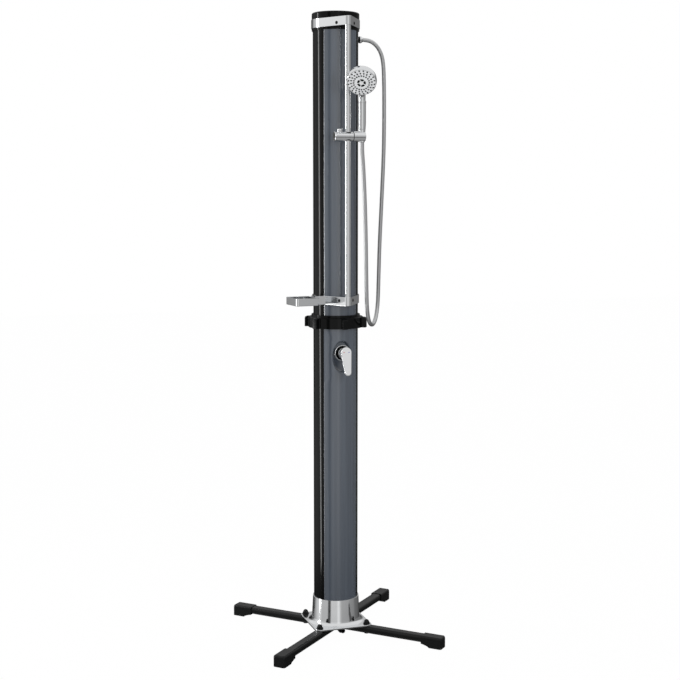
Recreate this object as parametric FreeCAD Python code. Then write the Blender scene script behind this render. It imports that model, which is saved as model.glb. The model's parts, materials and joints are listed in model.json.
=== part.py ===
# Outdoor shower post: a free-standing garden shower column on a cross foot, with a lever mixer,
# a slide bar, a hand shower on a hose and a soap dish.
# Millimetres. +Z is up, the front faces -Y, and the origin is on the ground under the column's axis.

import FreeCAD, Part
import math
import os

# ---------------------------------------------------------------- cross foot
cross_width = 38.0           # flat rectangular tubes
cross_height = 25.0
cross_tube_wall = 2.0
cross_tube_round = 3.0
cross_lift = 13.0            # ground to the underside of the tubes
cross_reach = 418.0          # column axis to the outer face of an end foot
end_foot_length = 76.0
end_foot_side_wall = 3.3
end_foot_top_wall = 2.0
end_foot_end_wall = 9.0
end_foot_round = 7.0
foot_pad_length = 46.0

# ---------------------------------------------------------------- base flange
plate_side = 210.0
plate_thickness = 5.0
plate_corner_radius = 22.0
socket_height = 91.5         # above the plate
socket_rim_wall = 3.3
socket_foot_wall = 7.0
socket_flare = 15.0          # radius of the hollow round from socket to plate
socket_clearance = 0.2
bolt_spacing = 174.0         # square pattern, hole to hole
bolt_radius = 4.0
bolt_clearance = 0.3
bolt_head_radius = 8.0
bolt_head_height = 4.0
bolt_stand = 12.0            # bolt end above the plate
nut_flange_radius = 12.5
nut_flange_height = 2.5
nut_flats = 19.0
nut_hex_height = 5.0
nut_dome_radius = 9.0
thread_clearance = 0.1

# ---------------------------------------------------------------- column
column_radius = 78.0
tank_wall = 5.0
lower_tube_length = 1072.3
upper_tube_length = 1017.0
panel_thickness = 2.5
panel_half_angle = 50.0
panel_gap = 0.2              # glue line behind and beside a panel
plug_thickness = 14.0
plug_clearance = 0.2
lower_plug_rise = 40.0       # plate to the plug of the lower tube
upper_plug_drop = 27.0       # top of the upper tube to the top of its plug

# ---------------------------------------------------------------- joint between the two tubes
spigot_flange = 4.0
seal_thickness = 2.0
spigot_wall = 6.0
spigot_depth = 40.0
collar_below = 14.5          # collar foot below the spigot's flange
collar_height = 37.5
collar_wall = 16.7
collar_clearance = 0.3
collar_ring_height = 8.5
collar_ring_wall = 6.7
lobe_count = 6
lobe_width = 19.0
lobe_depth = 15.0
lobe_round = 8.0
collar_round = 2.0

# ---------------------------------------------------------------- top cap
cap_skirt = 23.0             # how far the cap comes down over the tube
cap_rise = 39.0              # top of the tube to the crown of the cap
cap_wall = 3.3
cap_groove_wall = 1.6
cap_lip = 7.0
cap_clearance = 0.2
cap_shoulder = 18.5          # groove to the start of the round edge
cap_roof = 4.0

# ---------------------------------------------------------------- brackets and slide bar
bracket_height = 30.0
bracket_wall = 3.2
lower_bracket_wall = 3.6
bracket_clearance = 0.2
bracket_above_collar = 38.2
bar_standoff = 56.0          # column surface to the bar's axis
bar_radius = 10.0
bar_wall = 1.5
bar_seat_depth = 24.0
bar_seat_clearance = 0.1
nose_radius = 12.0           # the nose is twice as wide and ends in this round
nose_fillet = 4.5            # hollow round between the nose and the ring
bracket_edge_round = 1.2
bracket_screw_angle = 14.6   # each side of the front
screw_head_radius = 4.2
screw_head_height = 2.2
screw_seat_depth = 0.8
screw_seat_clearance = 0.4
screw_shank_radius = 2.0

# ---------------------------------------------------------------- soap dish
dish_turn = 6.0              # the arm and the dish point this much forward of the column's side
dish_length = 100.0
dish_width = 84.0
dish_height = 26.0
dish_wall = 3.0
dish_corner_radius = 8.0
dish_gap = 20.6              # bracket ring to the dish
dish_front = 96.0            # column axis to the dish's front wall
dish_drop = 3.0              # bracket top to the dish's rim
arm_front = 56.5
arm_width = 36.0
drain_count = 5
drain_width = 4.0
drain_length = 44.0
drain_pitch = 12.0
dish_screw_radius = 2.5
dish_screw_head_radius = 4.5
dish_screw_head_height = 2.0
dish_screw_length = 14.0

# ---------------------------------------------------------------- slider
slider_rise = 541.3          # top of the lower bracket to the slider's axis
slider_radius = 16.0
slider_left = 48.8
slider_right = 16.5
slider_end_round = 2.5
bush_wall = 2.5
bush_clearance = 0.1
running_clearance = 0.05
bush_length = 28.0
button_offset = 28.5
button_head_radius = 9.2
button_head_height = 6.4
button_stem_radius = 8.8
button_stem_depth = 5.0      # stem end above the slider's axis is minus this
button_travel = 2.5
button_stop_gap = 0.3
spring_side_gap = 2.5        # side of the button's stem to the spring
spring_wall = 1.5
spring_length = 6.6
spring_seat_gap = 0.1
shoe_radius = 4.0
shoe_clearance = 0.1

# ---------------------------------------------------------------- handset holder
washer_thickness = 2.0
washer_radius = 15.0
holder_radius = 17.5
holder_end = 59.5
holder_edge_round = 1.2
holder_socket_offset = 50.5  # bar axis to the axis of the conical socket
hub_radius = 9.0
hub_length = 13.5
holder_web = 2.7
holder_screw_radius = 2.9
holder_screw_depth = 9.0
holder_screw_head_radius = 5.0
holder_screw_head_height = 3.0
socket_cone_clearance = 0.3
hose_slot = 16.0

# ---------------------------------------------------------------- handset
cone_rise = 23.0             # slider axis to the top of the hose's conical nut
cone_length = 42.0
cone_top_radius = 11.4
cone_foot_radius = 9.2
stub_radius = 8.4
stub_length = 10.0
hose_washer_thickness = 2.0
waterway_radius = 4.0
handle_length = 88.0
handle_foot_radius = 11.5
handle_radius = 12.7
handle_bead_radius = 13.3
handle_bead_height = 7.0
neck_radius = 11.3
neck_head_radius = 17.5
neck_bend = 91.0             # radius of the neck's bend
neck_sweep = 68.0            # degrees
head_turn = -21.0            # the head faces this much to the left of the front
head_tilt = 36.0             # and looks down by this much
head_reach = 76.0            # handle axis to the centre of the face
head_rise = 55.6             # top of the handle to the centre of the face
head_radius = 50.6
head_front_radius = 48.8
head_shoulder_radius = 49.2
head_shoulder = 24.0
head_depth = 35.0
face_radius = 46.5
face_thickness = 5.0
face_crown = 4.0             # how far the middle of the face stands out
face_clearance = 0.3
face_back_gap = 0.1          # back of the face to the floor of its recess
face_spindle_radius = 6.0
face_spindle_length = 8.0
nozzle_spokes = 20
nozzle_rows = 3
nozzle_first_radius = 26.0
nozzle_pitch = 8.6
nozzle_turn = 4.5            # each row is turned on by this angle
nozzle_radius = 1.3
nozzle_proud = 0.8
slot_count = 5
slot_inner_radius = 9.0
slot_outer_radius = 13.0
slot_sweep = 46.0
slot_depth = 1.6

# ---------------------------------------------------------------- hose and wall outlet
hose_radius = 7.0
outlet_drop = 48.0           # top of the upper tube to the outlet's axis
outlet_flange_radius = 11.0
outlet_flange_height = 3.5
outlet_gasket_radius = 10.6
outlet_gasket_thickness = 4.0
nipple_radius = 7.6
nipple_length = 7.5          # thread beyond the gasket
nipple_inside = 16.0         # inside the column's surface
wall_nut_radius = 11.8
wall_nut_length = 11.5
wall_nut_cone = 6.0
nut_end_wall = 3.5
# corners of the hose between its two nuts: down the right side, round the loop, up in front
hose_points = [
    (116, 0, 2090.3), (137, 0, 2082.5), (154.5, 0.5, 2067), (167.5, 0.5, 2044), (175, 1, 2011),
    (177.5, 1, 1948), (179, 2, 1833), (178, 2.5, 1703), (171.5, 3.5, 1548), (164.5, 4.5, 1395),
    (161.5, 5, 1278), (160, 5, 1210), (157, 4, 1162), (141, -20.5, 1122), (115, -60.5, 1106.5),
    (89, -100.5, 1122), (73.5, -124.5, 1162), (70.5, -126.5, 1215), (68.5, -127.5, 1313),
    (66, -129, 1433), (61, -131, 1563), (55, -133, 1663), (50.5, -134, 1707),
]
hose_arc_share = 0.45

# ---------------------------------------------------------------- mixer
mixer_drop = 98.5            # top of the lower tube to the mixer's axis
recess_drop = 13.8           # mixer's axis to the recess's centre
recess_half_width = 36.4
recess_half_height = 56.0
recess_taper = 6.0
recess_depth = 16.0
recess_wall = 2.5
recess_edge_round = 2.5
valve_radius = 24.0
valve_length = 47.0
valve_neck_radius = 19.9
valve_neck_length = 6.5
port_block_width = 60.0
port_block_depth = 30.0
port_block_height = 28.0
cartridge_radius = 17.5
cartridge_depth = 18.0
cartridge_clearance = 0.1
cartridge_neck_radius = 11.0
cartridge_neck_length = 9.0
ring_nut_radius = 23.5
ring_nut_height = 5.0
ring_nut_lip = 2.8
sleeve_radius = 27.5
sleeve_wall = 3.0
sleeve_length = 16.0
sleeve_foot = 2.0
spindle_radius = 7.0
spindle_inside = 12.0
tongue_thickness = 8.0
tongue_height = 12.0
lever_gap = 4.0              # sleeve front to the lever's skirt
lever_skirt_radius = 20.0
lever_skirt_wall = 3.0
lever_pivot_depth = 8.0      # skirt edge to the lever's pivot
lever_cavity = 15.5
lever_pin_radius = 2.5
lever_rise = 7.0             # mixer axis to the centre of the blade's round top
lever_top_radius = 19.2
lever_tip_radius = 12.3
lever_reach = 69.5
lever_thickness = 10.0
lever_lean = 16.3            # degrees, the tip stands out
lever_stem = 39.0            # skirt edge to the centre of the blade's round top, front face
lever_edge_round = 3.0
mark_radius = 1.7
mark_height = 0.4
mark_spread = 9.0

# ---------------------------------------------------------------- pipes and inlet
pipe_radius = 6.0
pipe_wall = 1.2
pipe_spread = 22.0
pipe_elbow = 20.0
hot_pipe_drop = 62.0         # top of the upper tube to the open end of the hot pipe
inlet_offset = 42.0          # column axis to the inlet's riser
inlet_radius = 9.0
inlet_rise = 16.0            # elbow's top above the plate
inlet_height = 24.0
spigot_tip = 84.0            # column axis to the end of the hose spigot
connector_radius = 12.5
connector_length = 13.0
spigot_pipe_radius = 8.0
spigot_bore = 5.0

# ---------------------------------------------------------------- worked out from the sizes above
front = FreeCAD.Vector(0, -1, 0)
up = FreeCAD.Vector(0, 0, 1)
right = FreeCAD.Vector(1, 0, 0)
origin = FreeCAD.Vector(0, 0, 0)

plate_bottom = cross_lift + cross_height
plate_top = plate_bottom + plate_thickness
socket_top = plate_top + socket_height
tank_bore = column_radius - tank_wall
panel_inner = column_radius - panel_thickness
rebate_radius = panel_inner - panel_gap

lower_top = plate_top + lower_tube_length
flange_top = lower_top + spigot_flange
upper_bottom = flange_top + seal_thickness
upper_top = upper_bottom + upper_tube_length
collar_bottom = lower_top - collar_below
collar_body_top = collar_bottom + collar_height
collar_top = collar_body_top + collar_ring_height
collar_bore = column_radius + collar_clearance
collar_radius = collar_bore + collar_wall

cap_bottom = upper_top - cap_skirt
cap_top = upper_top + cap_rise
cap_bore = column_radius + cap_clearance
cap_radius = cap_bore + cap_wall
groove_radius = cap_bore + cap_groove_wall
groove_bottom = cap_bottom + cap_lip
groove_top = groove_bottom + bracket_height + 1.0

lower_bracket_bottom = collar_top + bracket_above_collar
lower_bracket_top = lower_bracket_bottom + bracket_height
top_bracket_bottom = groove_bottom + 0.5
bar_y = -(column_radius + bar_standoff)
slider_z = lower_bracket_top + slider_rise

mixer_z = lower_top - mixer_drop
recess_z = mixer_z - recess_drop
recess_floor = column_radius - recess_depth


def at(x, y, z):
    """A point, or a direction."""
    return FreeCAD.Vector(x, y, z)


def rod(radius, length, base, direction):
    """A plain round bar."""
    return Part.makeCylinder(radius, length, base, direction)


def sleeve(outer, inner, length, base, direction):
    """A round tube."""
    return rod(outer, length, base, direction).cut(rod(inner, length, base, direction))


def block(x0, x1, y0, y1, z0, z1):
    """A box between two corners."""
    return Part.makeBox(x1 - x0, y1 - y0, z1 - z0, at(x0, y0, z0))


def turned(edges, base, direction):
    """A closed outline of edges, turned once round an axis."""
    face = Part.Face(Part.Wire(Part.__sortEdges__(edges)))
    return face.revolve(base, direction, 360)


def line(a, b):
    """A straight edge."""
    return Part.LineSegment(a, b).toShape()


def arc(a, b, c):
    """An arc from a through b to c."""
    return Part.Arc(a, b, c).toShape()


def rounded(shape, radius, chosen):
    """The shape with a round on every edge that the test picks."""
    edges = [edge for edge in shape.Edges if chosen(edge)]
    return shape.makeFillet(radius, edges)


def turned_about_z(shape, degrees):
    """A copy of the shape, turned about the column's axis."""
    copy = shape.copy()
    copy.rotate(origin, up, degrees)
    return copy


def front_sector(inner, outer, half_angle, z0, z1):
    """A piece of a ring wall, centred on the front of the column."""
    corners = [at(inner, 0, z0), at(outer, 0, z0), at(outer, 0, z1), at(inner, 0, z1), at(inner, 0, z0)]
    face = Part.Face(Part.makePolygon(corners))
    face.rotate(origin, up, -90 - half_angle)
    return face.revolve(origin, up, 2 * half_angle)


def save(name, shape):
    """Write one node."""
    shape.exportStep("parts/" + name + ".step")


# ================================================================ cross foot

def bolt_places():
    """The four places of the base bolts, seen from above."""
    half = bolt_spacing / 2
    return [(half, half), (-half, half), (-half, -half), (half, -half)]


def cross_tube(x0, x1, degrees):
    """A rectangular tube along a spoke of the cross, with its bolt holes."""
    half = cross_width / 2
    hollow = half - cross_tube_wall
    outer = block(x0, x1, -half, half, cross_lift, plate_bottom)
    outer = rounded(outer, cross_tube_round, lambda edge: edge.BoundBox.XLength > 1)
    inner = block(x0, x1, -hollow, hollow, cross_lift + cross_tube_wall, plate_bottom - cross_tube_wall)
    bar = turned_about_z(outer.cut(inner), degrees)
    for x, y in bolt_places():
        hole = rod(bolt_radius + bolt_clearance, cross_height, at(x, y, cross_lift), up)
        bar = bar.cut(hole)
    return bar


def make_cross():
    """One long tube and two half tubes that butt against it."""
    end = cross_reach - end_foot_end_wall
    save("cross_bar_long", cross_tube(-end, end, 45))
    save("cross_bar_left", cross_tube(cross_width / 2, end, 135))
    save("cross_bar_right", cross_tube(cross_width / 2, end, -45))


def end_foot():
    """A cap over a tube's end, with a pad that stands on the ground."""
    half = cross_width / 2 + end_foot_side_wall
    start = cross_reach - end_foot_length
    pad_start = cross_reach - foot_pad_length
    bottom = cross_lift - end_foot_top_wall
    top = plate_bottom + end_foot_top_wall
    outline = [
        at(start, -half, bottom), at(start + 9, -half, bottom - 1.5), at(pad_start - 6, -half, bottom * 0.45),
        at(pad_start, -half, 0), at(cross_reach, -half, 0), at(cross_reach, -half, top),
        at(start, -half, top), at(start, -half, bottom),
    ]
    foot = Part.Face(Part.makePolygon(outline)).extrude(at(0, 2 * half, 0))

    def outer_edge(edge):
        box = edge.BoundBox
        at_end = box.XMin > cross_reach - 0.01
        return at_end and box.ZMax > 0.01

    def long_top_edge(edge):
        box = edge.BoundBox
        return box.ZMin > top - 0.01 and box.XLength > 1

    foot = rounded(foot, end_foot_round, outer_edge)
    foot = rounded(foot, 1.5, long_top_edge)
    hollow = block(start, cross_reach - end_foot_end_wall, -cross_width / 2, cross_width / 2,
                   cross_lift, plate_bottom)
    return foot.cut(hollow)


def make_end_feet():
    """Four feet, one on each spoke."""
    foot = end_foot()
    for number in range(4):
        save("end_foot_" + str(number + 1), turned_about_z(foot, 45 + 90 * number))


# ================================================================ base flange and its bolts

def make_base_flange():
    """A rounded square plate with a flared socket for the column."""
    half = plate_side / 2
    plate = block(-half, half, -half, half, plate_bottom, plate_top)
    plate = rounded(plate, plate_corner_radius, lambda edge: edge.BoundBox.ZLength > plate_thickness / 2)
    bore = column_radius + socket_clearance
    rim = bore + socket_rim_wall
    foot = bore + socket_foot_wall
    flare_top = plate_top + socket_flare
    slant = socket_flare * (1 - math.sqrt(0.5))
    inner_low = at(bore, 0, plate_bottom)
    inner_high = at(bore, 0, socket_top)
    outer_high = at(rim, 0, socket_top)
    outer_low = at(foot, 0, flare_top)
    flare_mid = at(foot + slant, 0, plate_top + slant)
    flare_end = at(foot + socket_flare, 0, plate_top)
    under = at(foot + socket_flare, 0, plate_bottom)
    socket = turned([
        line(inner_low, inner_high), line(inner_high, outer_high), line(outer_high, outer_low),
        arc(outer_low, flare_mid, flare_end), line(flare_end, under), line(under, inner_low),
    ], origin, up)
    flange = plate.fuse(socket).removeSplitter()
    top_edge = rounded(flange, 1.0, lambda edge: abs(edge.BoundBox.ZMin - plate_top) < 0.01
                       and edge.BoundBox.ZLength < 0.01
                       and max(abs(edge.BoundBox.XMin), abs(edge.BoundBox.XMax),
                               abs(edge.BoundBox.YMin), abs(edge.BoundBox.YMax)) > half - 0.01)
    for x, y in bolt_places():
        hole = rod(bolt_radius + bolt_clearance, plate_thickness, at(x, y, plate_bottom), up)
        top_edge = top_edge.cut(hole)
    inlet_hole = rod(inlet_radius + bolt_clearance, plate_thickness, at(0, -inlet_offset, plate_bottom), up)
    save("base_flange", top_edge.cut(inlet_hole))


def base_bolt(x, y):
    """A bolt up through the tube and the plate."""
    head = rod(bolt_head_radius, bolt_head_height, at(x, y, cross_lift - bolt_head_height), up)
    shank = rod(bolt_radius, cross_height + plate_thickness + bolt_stand, at(x, y, cross_lift), up)
    return head.fuse(shank)


def dome_nut(x, y):
    """A flanged six-sided nut with a closed dome."""
    flange = rod(nut_flange_radius, nut_flange_height, at(x, y, plate_top), up)
    hex_bottom = plate_top + nut_flange_height
    corner = nut_flats / 2 / math.cos(math.radians(30))
    corners = []
    for step in range(7):
        angle = math.radians(60 * step)
        corners.append(at(x + corner * math.cos(angle), y + corner * math.sin(angle), hex_bottom))
    six_sided = Part.Face(Part.makePolygon(corners)).extrude(at(0, 0, nut_hex_height))
    dome_base = hex_bottom + nut_hex_height
    dome = Part.makeSphere(nut_dome_radius, at(x, y, dome_base), up, 0, 90, 360)
    bore = rod(bolt_radius + thread_clearance, bolt_stand + bolt_clearance, at(x, y, plate_top), up)
    return flange.fuse(six_sided).fuse(dome).removeSplitter().cut(bore)


def make_bolts_and_nuts():
    """Four bolts in one node and four nuts in another."""
    save("base_bolts", Part.makeCompound([base_bolt(x, y) for x, y in bolt_places()]))
    save("dome_nuts", Part.makeCompound([dome_nut(x, y) for x, y in bolt_places()]))


# ================================================================ column

def oval(grow, y, taper):
    """The outline of the mixer's recess on a plane that faces the front."""
    half_height = recess_half_height + grow - taper
    half_width = recess_half_width + grow - taper
    centre = at(0, y, recess_z)
    return Part.Wire(Part.Ellipse(centre + up * half_height, centre + right * half_width, centre).toShape())


def recess_form(grow, floor):
    """The tapered oval form of the recess, from in front of the column down to the floor."""
    rim = column_radius + 2.0
    slope = recess_taper / recess_depth
    return Part.makeLoft([oval(grow, -rim, -2.0 * slope),
                          oval(grow, -floor, (column_radius - floor) * slope)], True, True)


def tank_shell(z0, z1):
    """A tube whose front is rebated for its panel."""
    tube = sleeve(column_radius, tank_bore, z1 - z0, at(0, 0, z0), up)
    side_gap = math.degrees(panel_gap / column_radius)
    rebate = front_sector(rebate_radius, column_radius + 1, panel_half_angle + side_gap, z0, z1)
    return tube.cut(rebate)


def make_lower_tube():
    """The lower tube, open behind the recess, and its panel with the recess moulded in."""
    shell = tank_shell(plate_top, lower_top)
    opening = recess_form(recess_wall + panel_gap, tank_bore - 25)
    save("lower_tank_shell", shell.cut(opening))

    panel = front_sector(panel_inner, column_radius, panel_half_angle, plate_top, lower_top)
    cup = recess_form(recess_wall, recess_floor - recess_wall)
    cup = cup.common(rod(column_radius, lower_tube_length, at(0, 0, plate_top), up))
    panel = panel.fuse(cup).cut(recess_form(0, recess_floor))

    def rim_edge(edge):
        box = edge.BoundBox
        on_surface = all(abs(math.hypot(p.x, p.y) - column_radius) < 0.05 for p in edge.discretize(9))
        near = abs(box.ZMin - recess_z) < recess_half_height * 1.3
        return on_surface and near and abs(box.ZMax - recess_z) < recess_half_height * 1.3

    panel = rounded(panel, recess_edge_round, rim_edge)
    hole = rod(valve_neck_radius + bolt_clearance, column_radius, at(0, 0, mixer_z), front)
    save("lower_front_panel", panel.cut(hole))


def make_upper_tube():
    """The upper tube, with the hole of the wall outlet, and its panel."""
    shell = tank_shell(upper_bottom, upper_top)
    outlet_hole = rod(nipple_radius + thread_clearance, column_radius, at(0, 0, outlet_z()), right)
    save("upper_tank_shell", shell.cut(outlet_hole))
    panel = front_sector(panel_inner, column_radius, panel_half_angle, upper_bottom, upper_top)
    save("upper_front_panel", panel)


def make_plugs():
    """The plates that close the two ends of the tank, bored for the pipes."""
    radius = tank_bore - plug_clearance
    pipe_hole = pipe_radius + plug_clearance
    low = plate_top + lower_plug_rise
    lower = rod(radius, plug_thickness, at(0, 0, low), up)
    save("lower_tank_plug", lower.cut(rod(pipe_hole, plug_thickness, at(0, -inlet_offset, low), up)))
    high = upper_top - upper_plug_drop
    save("upper_tank_plug", rod(radius, plug_thickness, at(0, 0, high), up))


def make_joint():
    """A spigot that centres both tubes, a flat seal, and the big hand collar round the outside."""
    spigot_radius = tank_bore - plug_clearance
    spigot = sleeve(spigot_radius, spigot_radius - spigot_wall, 2 * spigot_depth + spigot_flange,
                    at(0, 0, lower_top - spigot_depth), up)
    lip = sleeve(column_radius - plug_clearance, spigot_radius - spigot_wall, spigot_flange,
                 at(0, 0, lower_top), up)
    save("joint_spigot", spigot.fuse(lip).removeSplitter())
    save("joint_seal", sleeve(column_radius - plug_clearance, spigot_radius + plug_clearance,
                              seal_thickness, at(0, 0, flange_top), up))

    ring = rod(collar_bore + collar_ring_wall, collar_top - collar_bottom, at(0, 0, collar_bottom), up)
    body = rod(collar_radius, collar_height, at(0, 0, collar_bottom), up)
    body = rounded(body, collar_round, lambda edge: edge.BoundBox.ZLength < 0.01)
    collar = body.fuse(ring)
    for number in range(lobe_count):
        collar = collar.fuse(turned_about_z(collar_lobe(), 360 / lobe_count * number))
    bore = rod(collar_bore, collar_top - collar_bottom, at(0, 0, collar_bottom), up)
    save("union_collar", collar.removeSplitter().cut(bore))


def collar_lobe():
    """One grip lobe of the collar, at the front, with a round top corner."""
    inner = -(collar_radius - collar_wall / 2)
    outer = -(collar_radius + lobe_depth)
    top = collar_body_top - collar_round / 2
    corner = lobe_round * (1 - math.sqrt(0.5))
    a = at(0, inner, collar_bottom)
    b = at(0, outer, collar_bottom)
    c = at(0, outer, top - lobe_round)
    d = at(0, outer + corner, top - corner)
    e = at(0, outer + lobe_round, top)
    f = at(0, inner, top)
    face = Part.Face(Part.Wire([line(a, b), line(b, c), arc(c, d, e), line(e, f), line(f, a)]))
    face.translate(right * (-lobe_width / 2))
    return face.extrude(right * lobe_width)


def make_top_cap():
    """A round cap over the column's end, with a groove for the bracket and a low crown."""
    shoulder = groove_top + cap_shoulder
    edge_drop = cap_top - shoulder
    points = [
        at(cap_bore, 0, cap_bottom), at(cap_radius, 0, cap_bottom), at(cap_radius, 0, groove_bottom),
        at(groove_radius, 0, groove_bottom), at(groove_radius, 0, groove_top),
        at(cap_radius, 0, groove_top), at(cap_radius, 0, shoulder),
    ]
    edges = [line(a, b) for a, b in zip(points, points[1:])]
    crown_start = at(cap_radius - edge_drop, 0, cap_top - edge_drop * 0.25)
    edge_mid = at(cap_radius - edge_drop * 0.25, 0, shoulder + edge_drop * 0.5)
    crown_drop = cap_top - crown_start.z
    crown_radius = (crown_start.x ** 2 + crown_drop ** 2) / (2 * crown_drop)
    half_way = crown_start.x / 2
    crown_mid = at(half_way, 0, cap_top - crown_radius + math.sqrt(crown_radius ** 2 - half_way ** 2))
    crown = at(0, 0, cap_top)
    roof = cap_top - edge_drop * 0.25 - cap_roof
    inner_top = at(0, 0, roof)
    inner_edge = at(column_radius - tank_wall, 0, roof)
    seat_inner = at(column_radius - tank_wall, 0, upper_top)
    seat_outer = at(cap_bore, 0, upper_top)
    edges += [
        arc(points[-1], edge_mid, crown_start), arc(crown_start, crown_mid, crown),
        line(crown, inner_top), line(inner_top, inner_edge), line(inner_edge, seat_inner),
        line(seat_inner, seat_outer), line(seat_outer, points[0]),
    ]
    save("top_cap", turned(edges, origin, up))


# ================================================================ brackets, bar and soap dish

def spoke(degrees):
    """The direction that points this many degrees to the right of the front."""
    angle = math.radians(degrees)
    return at(math.sin(angle), -math.cos(angle), 0)


def bracket_outline(outer, z):
    """The ring's outer circle and the nose, joined by two hollow rounds."""
    fillet_x = nose_radius + nose_fillet
    fillet_y = -math.sqrt((outer + nose_fillet) ** 2 - fillet_x ** 2)
    share = outer / (outer + nose_fillet)
    ring_right = at(fillet_x * share, fillet_y * share, z)
    side_right = at(nose_radius, fillet_y, z)
    to_middle = (ring_right + side_right - at(fillet_x, fillet_y, z) * 2).normalize()
    fillet_right = at(fillet_x, fillet_y, z) + to_middle * nose_fillet
    end_right = at(nose_radius, bar_y, z)

    def mirrored(point):
        return at(-point.x, point.y, point.z)

    return Part.Wire([
        arc(ring_right, at(0, outer, z), mirrored(ring_right)),
        arc(mirrored(ring_right), mirrored(fillet_right), mirrored(side_right)),
        line(mirrored(side_right), mirrored(end_right)),
        arc(mirrored(end_right), at(0, bar_y - nose_radius, z), end_right),
        line(end_right, side_right),
        arc(side_right, fillet_right, ring_right),
    ])


def bracket(bottom, bore, outer, seat_bottom):
    """A ring round the column with a nose that holds one end of the bar."""
    body = Part.Face(bracket_outline(outer, bottom)).extrude(up * bracket_height)
    body = rounded(body, bracket_edge_round, lambda edge: edge.BoundBox.ZLength < 0.01)
    body = body.cut(rod(bore, bracket_height, at(0, 0, bottom), up))
    body = body.cut(rod(bar_radius + bar_seat_clearance, bar_seat_depth, at(0, bar_y, seat_bottom), up))
    middle = bottom + bracket_height / 2
    for degrees in (-bracket_screw_angle, bracket_screw_angle):
        way = spoke(degrees)
        seat = way * (outer - screw_seat_depth) + up * middle
        body = body.cut(rod(screw_head_radius + screw_seat_clearance, 20, seat, way))
        body = body.cut(rod(screw_shank_radius + thread_clearance, outer, up * middle, way))
    return body


def bracket_screw(bottom, bore, outer, degrees):
    """A small pan-headed screw through the ring."""
    way = spoke(degrees)
    middle = up * (bottom + bracket_height / 2)
    seat = outer - screw_seat_depth
    head = rod(screw_head_radius, screw_head_height, middle + way * seat, way)
    head = rounded(head, screw_head_height * 0.4,
                   lambda edge: (edge.CenterOfMass - middle).dot(way) > seat + screw_head_height - 0.01)
    shank = rod(screw_shank_radius, seat - bore - 0.2, middle + way * (bore + 0.2), way)
    return head.fuse(shank)


def top_bracket_sizes():
    """Bottom, bore and outer radius of the top bracket, which sits in the cap's groove."""
    bore = groove_radius + bracket_clearance
    return top_bracket_bottom, bore, bore + bracket_wall


def lower_bracket_sizes():
    """Bottom, bore and outer radius of the lower bracket, which sits on the column."""
    bore = column_radius + bracket_clearance
    return lower_bracket_bottom, bore, bore + lower_bracket_wall


def dish_right():
    """The dish's wall that faces the column, before the dish is turned."""
    return -(lower_bracket_sizes()[2] + dish_gap)


def make_brackets():
    """Both brackets, the arm of the soap dish on the lower one, and their screws."""
    bottom, bore, outer = top_bracket_sizes()
    save("top_bracket", bracket(bottom, bore, outer, bottom))

    low, low_bore, low_outer = lower_bracket_sizes()
    ring = bracket(low, low_bore, low_outer, lower_bracket_top - bar_seat_depth)
    arm = block(dish_right(), 0, -arm_front, arm_width - arm_front, low, lower_bracket_top)
    arm = rounded(arm, bracket_edge_round, lambda edge: edge.BoundBox.XLength > 1)
    arm = arm.cut(rod(low_outer - lower_bracket_wall / 2, bracket_height, at(0, 0, low), up))
    screw_hole = rod(dish_screw_radius + thread_clearance, dish_screw_length,
                     at(dish_right(), arm_middle(), low + bracket_height / 2), right)
    arm = turned_about_z(arm.cut(screw_hole), dish_turn)
    save("lower_bracket", ring.fuse(arm).removeSplitter())

    screws = []
    for sizes in (top_bracket_sizes(), lower_bracket_sizes()):
        for degrees in (-bracket_screw_angle, bracket_screw_angle):
            screws.append(bracket_screw(*sizes, degrees))
    save("bracket_screws", Part.makeCompound(screws))


def make_slide_bar():
    """A straight round tube from bracket to bracket."""
    start = lower_bracket_top - bar_seat_depth
    end = top_bracket_bottom + bar_seat_depth
    save("slide_bar", sleeve(bar_radius, bar_radius - bar_wall, end - start, at(0, bar_y, start), up))


def arm_middle():
    """Where the dish's screw lies along the arm."""
    return arm_width / 2 - arm_front


def make_soap_dish():
    """An open tray with round corners and drain slots, and the screw that holds it to the arm."""
    x1 = dish_right()
    x0 = x1 - dish_width
    y0 = -dish_front
    y1 = y0 + dish_length
    rim = lower_bracket_top - dish_drop
    floor = rim - dish_height
    tray = block(x0, x1, y0, y1, floor, rim)
    tray = rounded(tray, dish_corner_radius, lambda edge: edge.BoundBox.ZLength > 1)
    tray = rounded(tray, dish_wall / 2, lambda edge: edge.BoundBox.ZMax < floor + 0.01)
    inside = block(x0 + dish_wall, x1 - dish_wall, y0 + dish_wall, y1 - dish_wall, floor + dish_wall, rim)
    inside = rounded(inside, dish_corner_radius - dish_wall, lambda edge: edge.BoundBox.ZLength > 1)
    tray = tray.cut(inside)
    middle_x = (x0 + x1) / 2
    middle_y = (y0 + y1) / 2
    for number in range(drain_count):
        y = middle_y + (number - (drain_count - 1) / 2) * drain_pitch
        slot = block(middle_x - drain_length / 2, middle_x + drain_length / 2,
                     y - drain_width / 2, y + drain_width / 2, floor, floor + dish_wall)
        slot = rounded(slot, drain_width * 0.45, lambda edge: edge.BoundBox.ZLength > 1)
        tray = tray.cut(slot)
    screw_z = lower_bracket_bottom + bracket_height / 2
    through = rod(dish_screw_radius + thread_clearance, dish_wall + 2,
                  at(x1 - dish_wall - 1, arm_middle(), screw_z), right)
    save("soap_dish", turned_about_z(tray.cut(through), dish_turn))
    head = rod(dish_screw_head_radius, dish_screw_head_height,
               at(x1 - dish_wall - dish_screw_head_height, arm_middle(), screw_z), right)
    shank = rod(dish_screw_radius, dish_wall + dish_screw_length - 1,
                at(x1 - dish_wall, arm_middle(), screw_z), right)
    save("soap_dish_screw", turned_about_z(head.fuse(shank), dish_turn))


# ================================================================ slider

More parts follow.
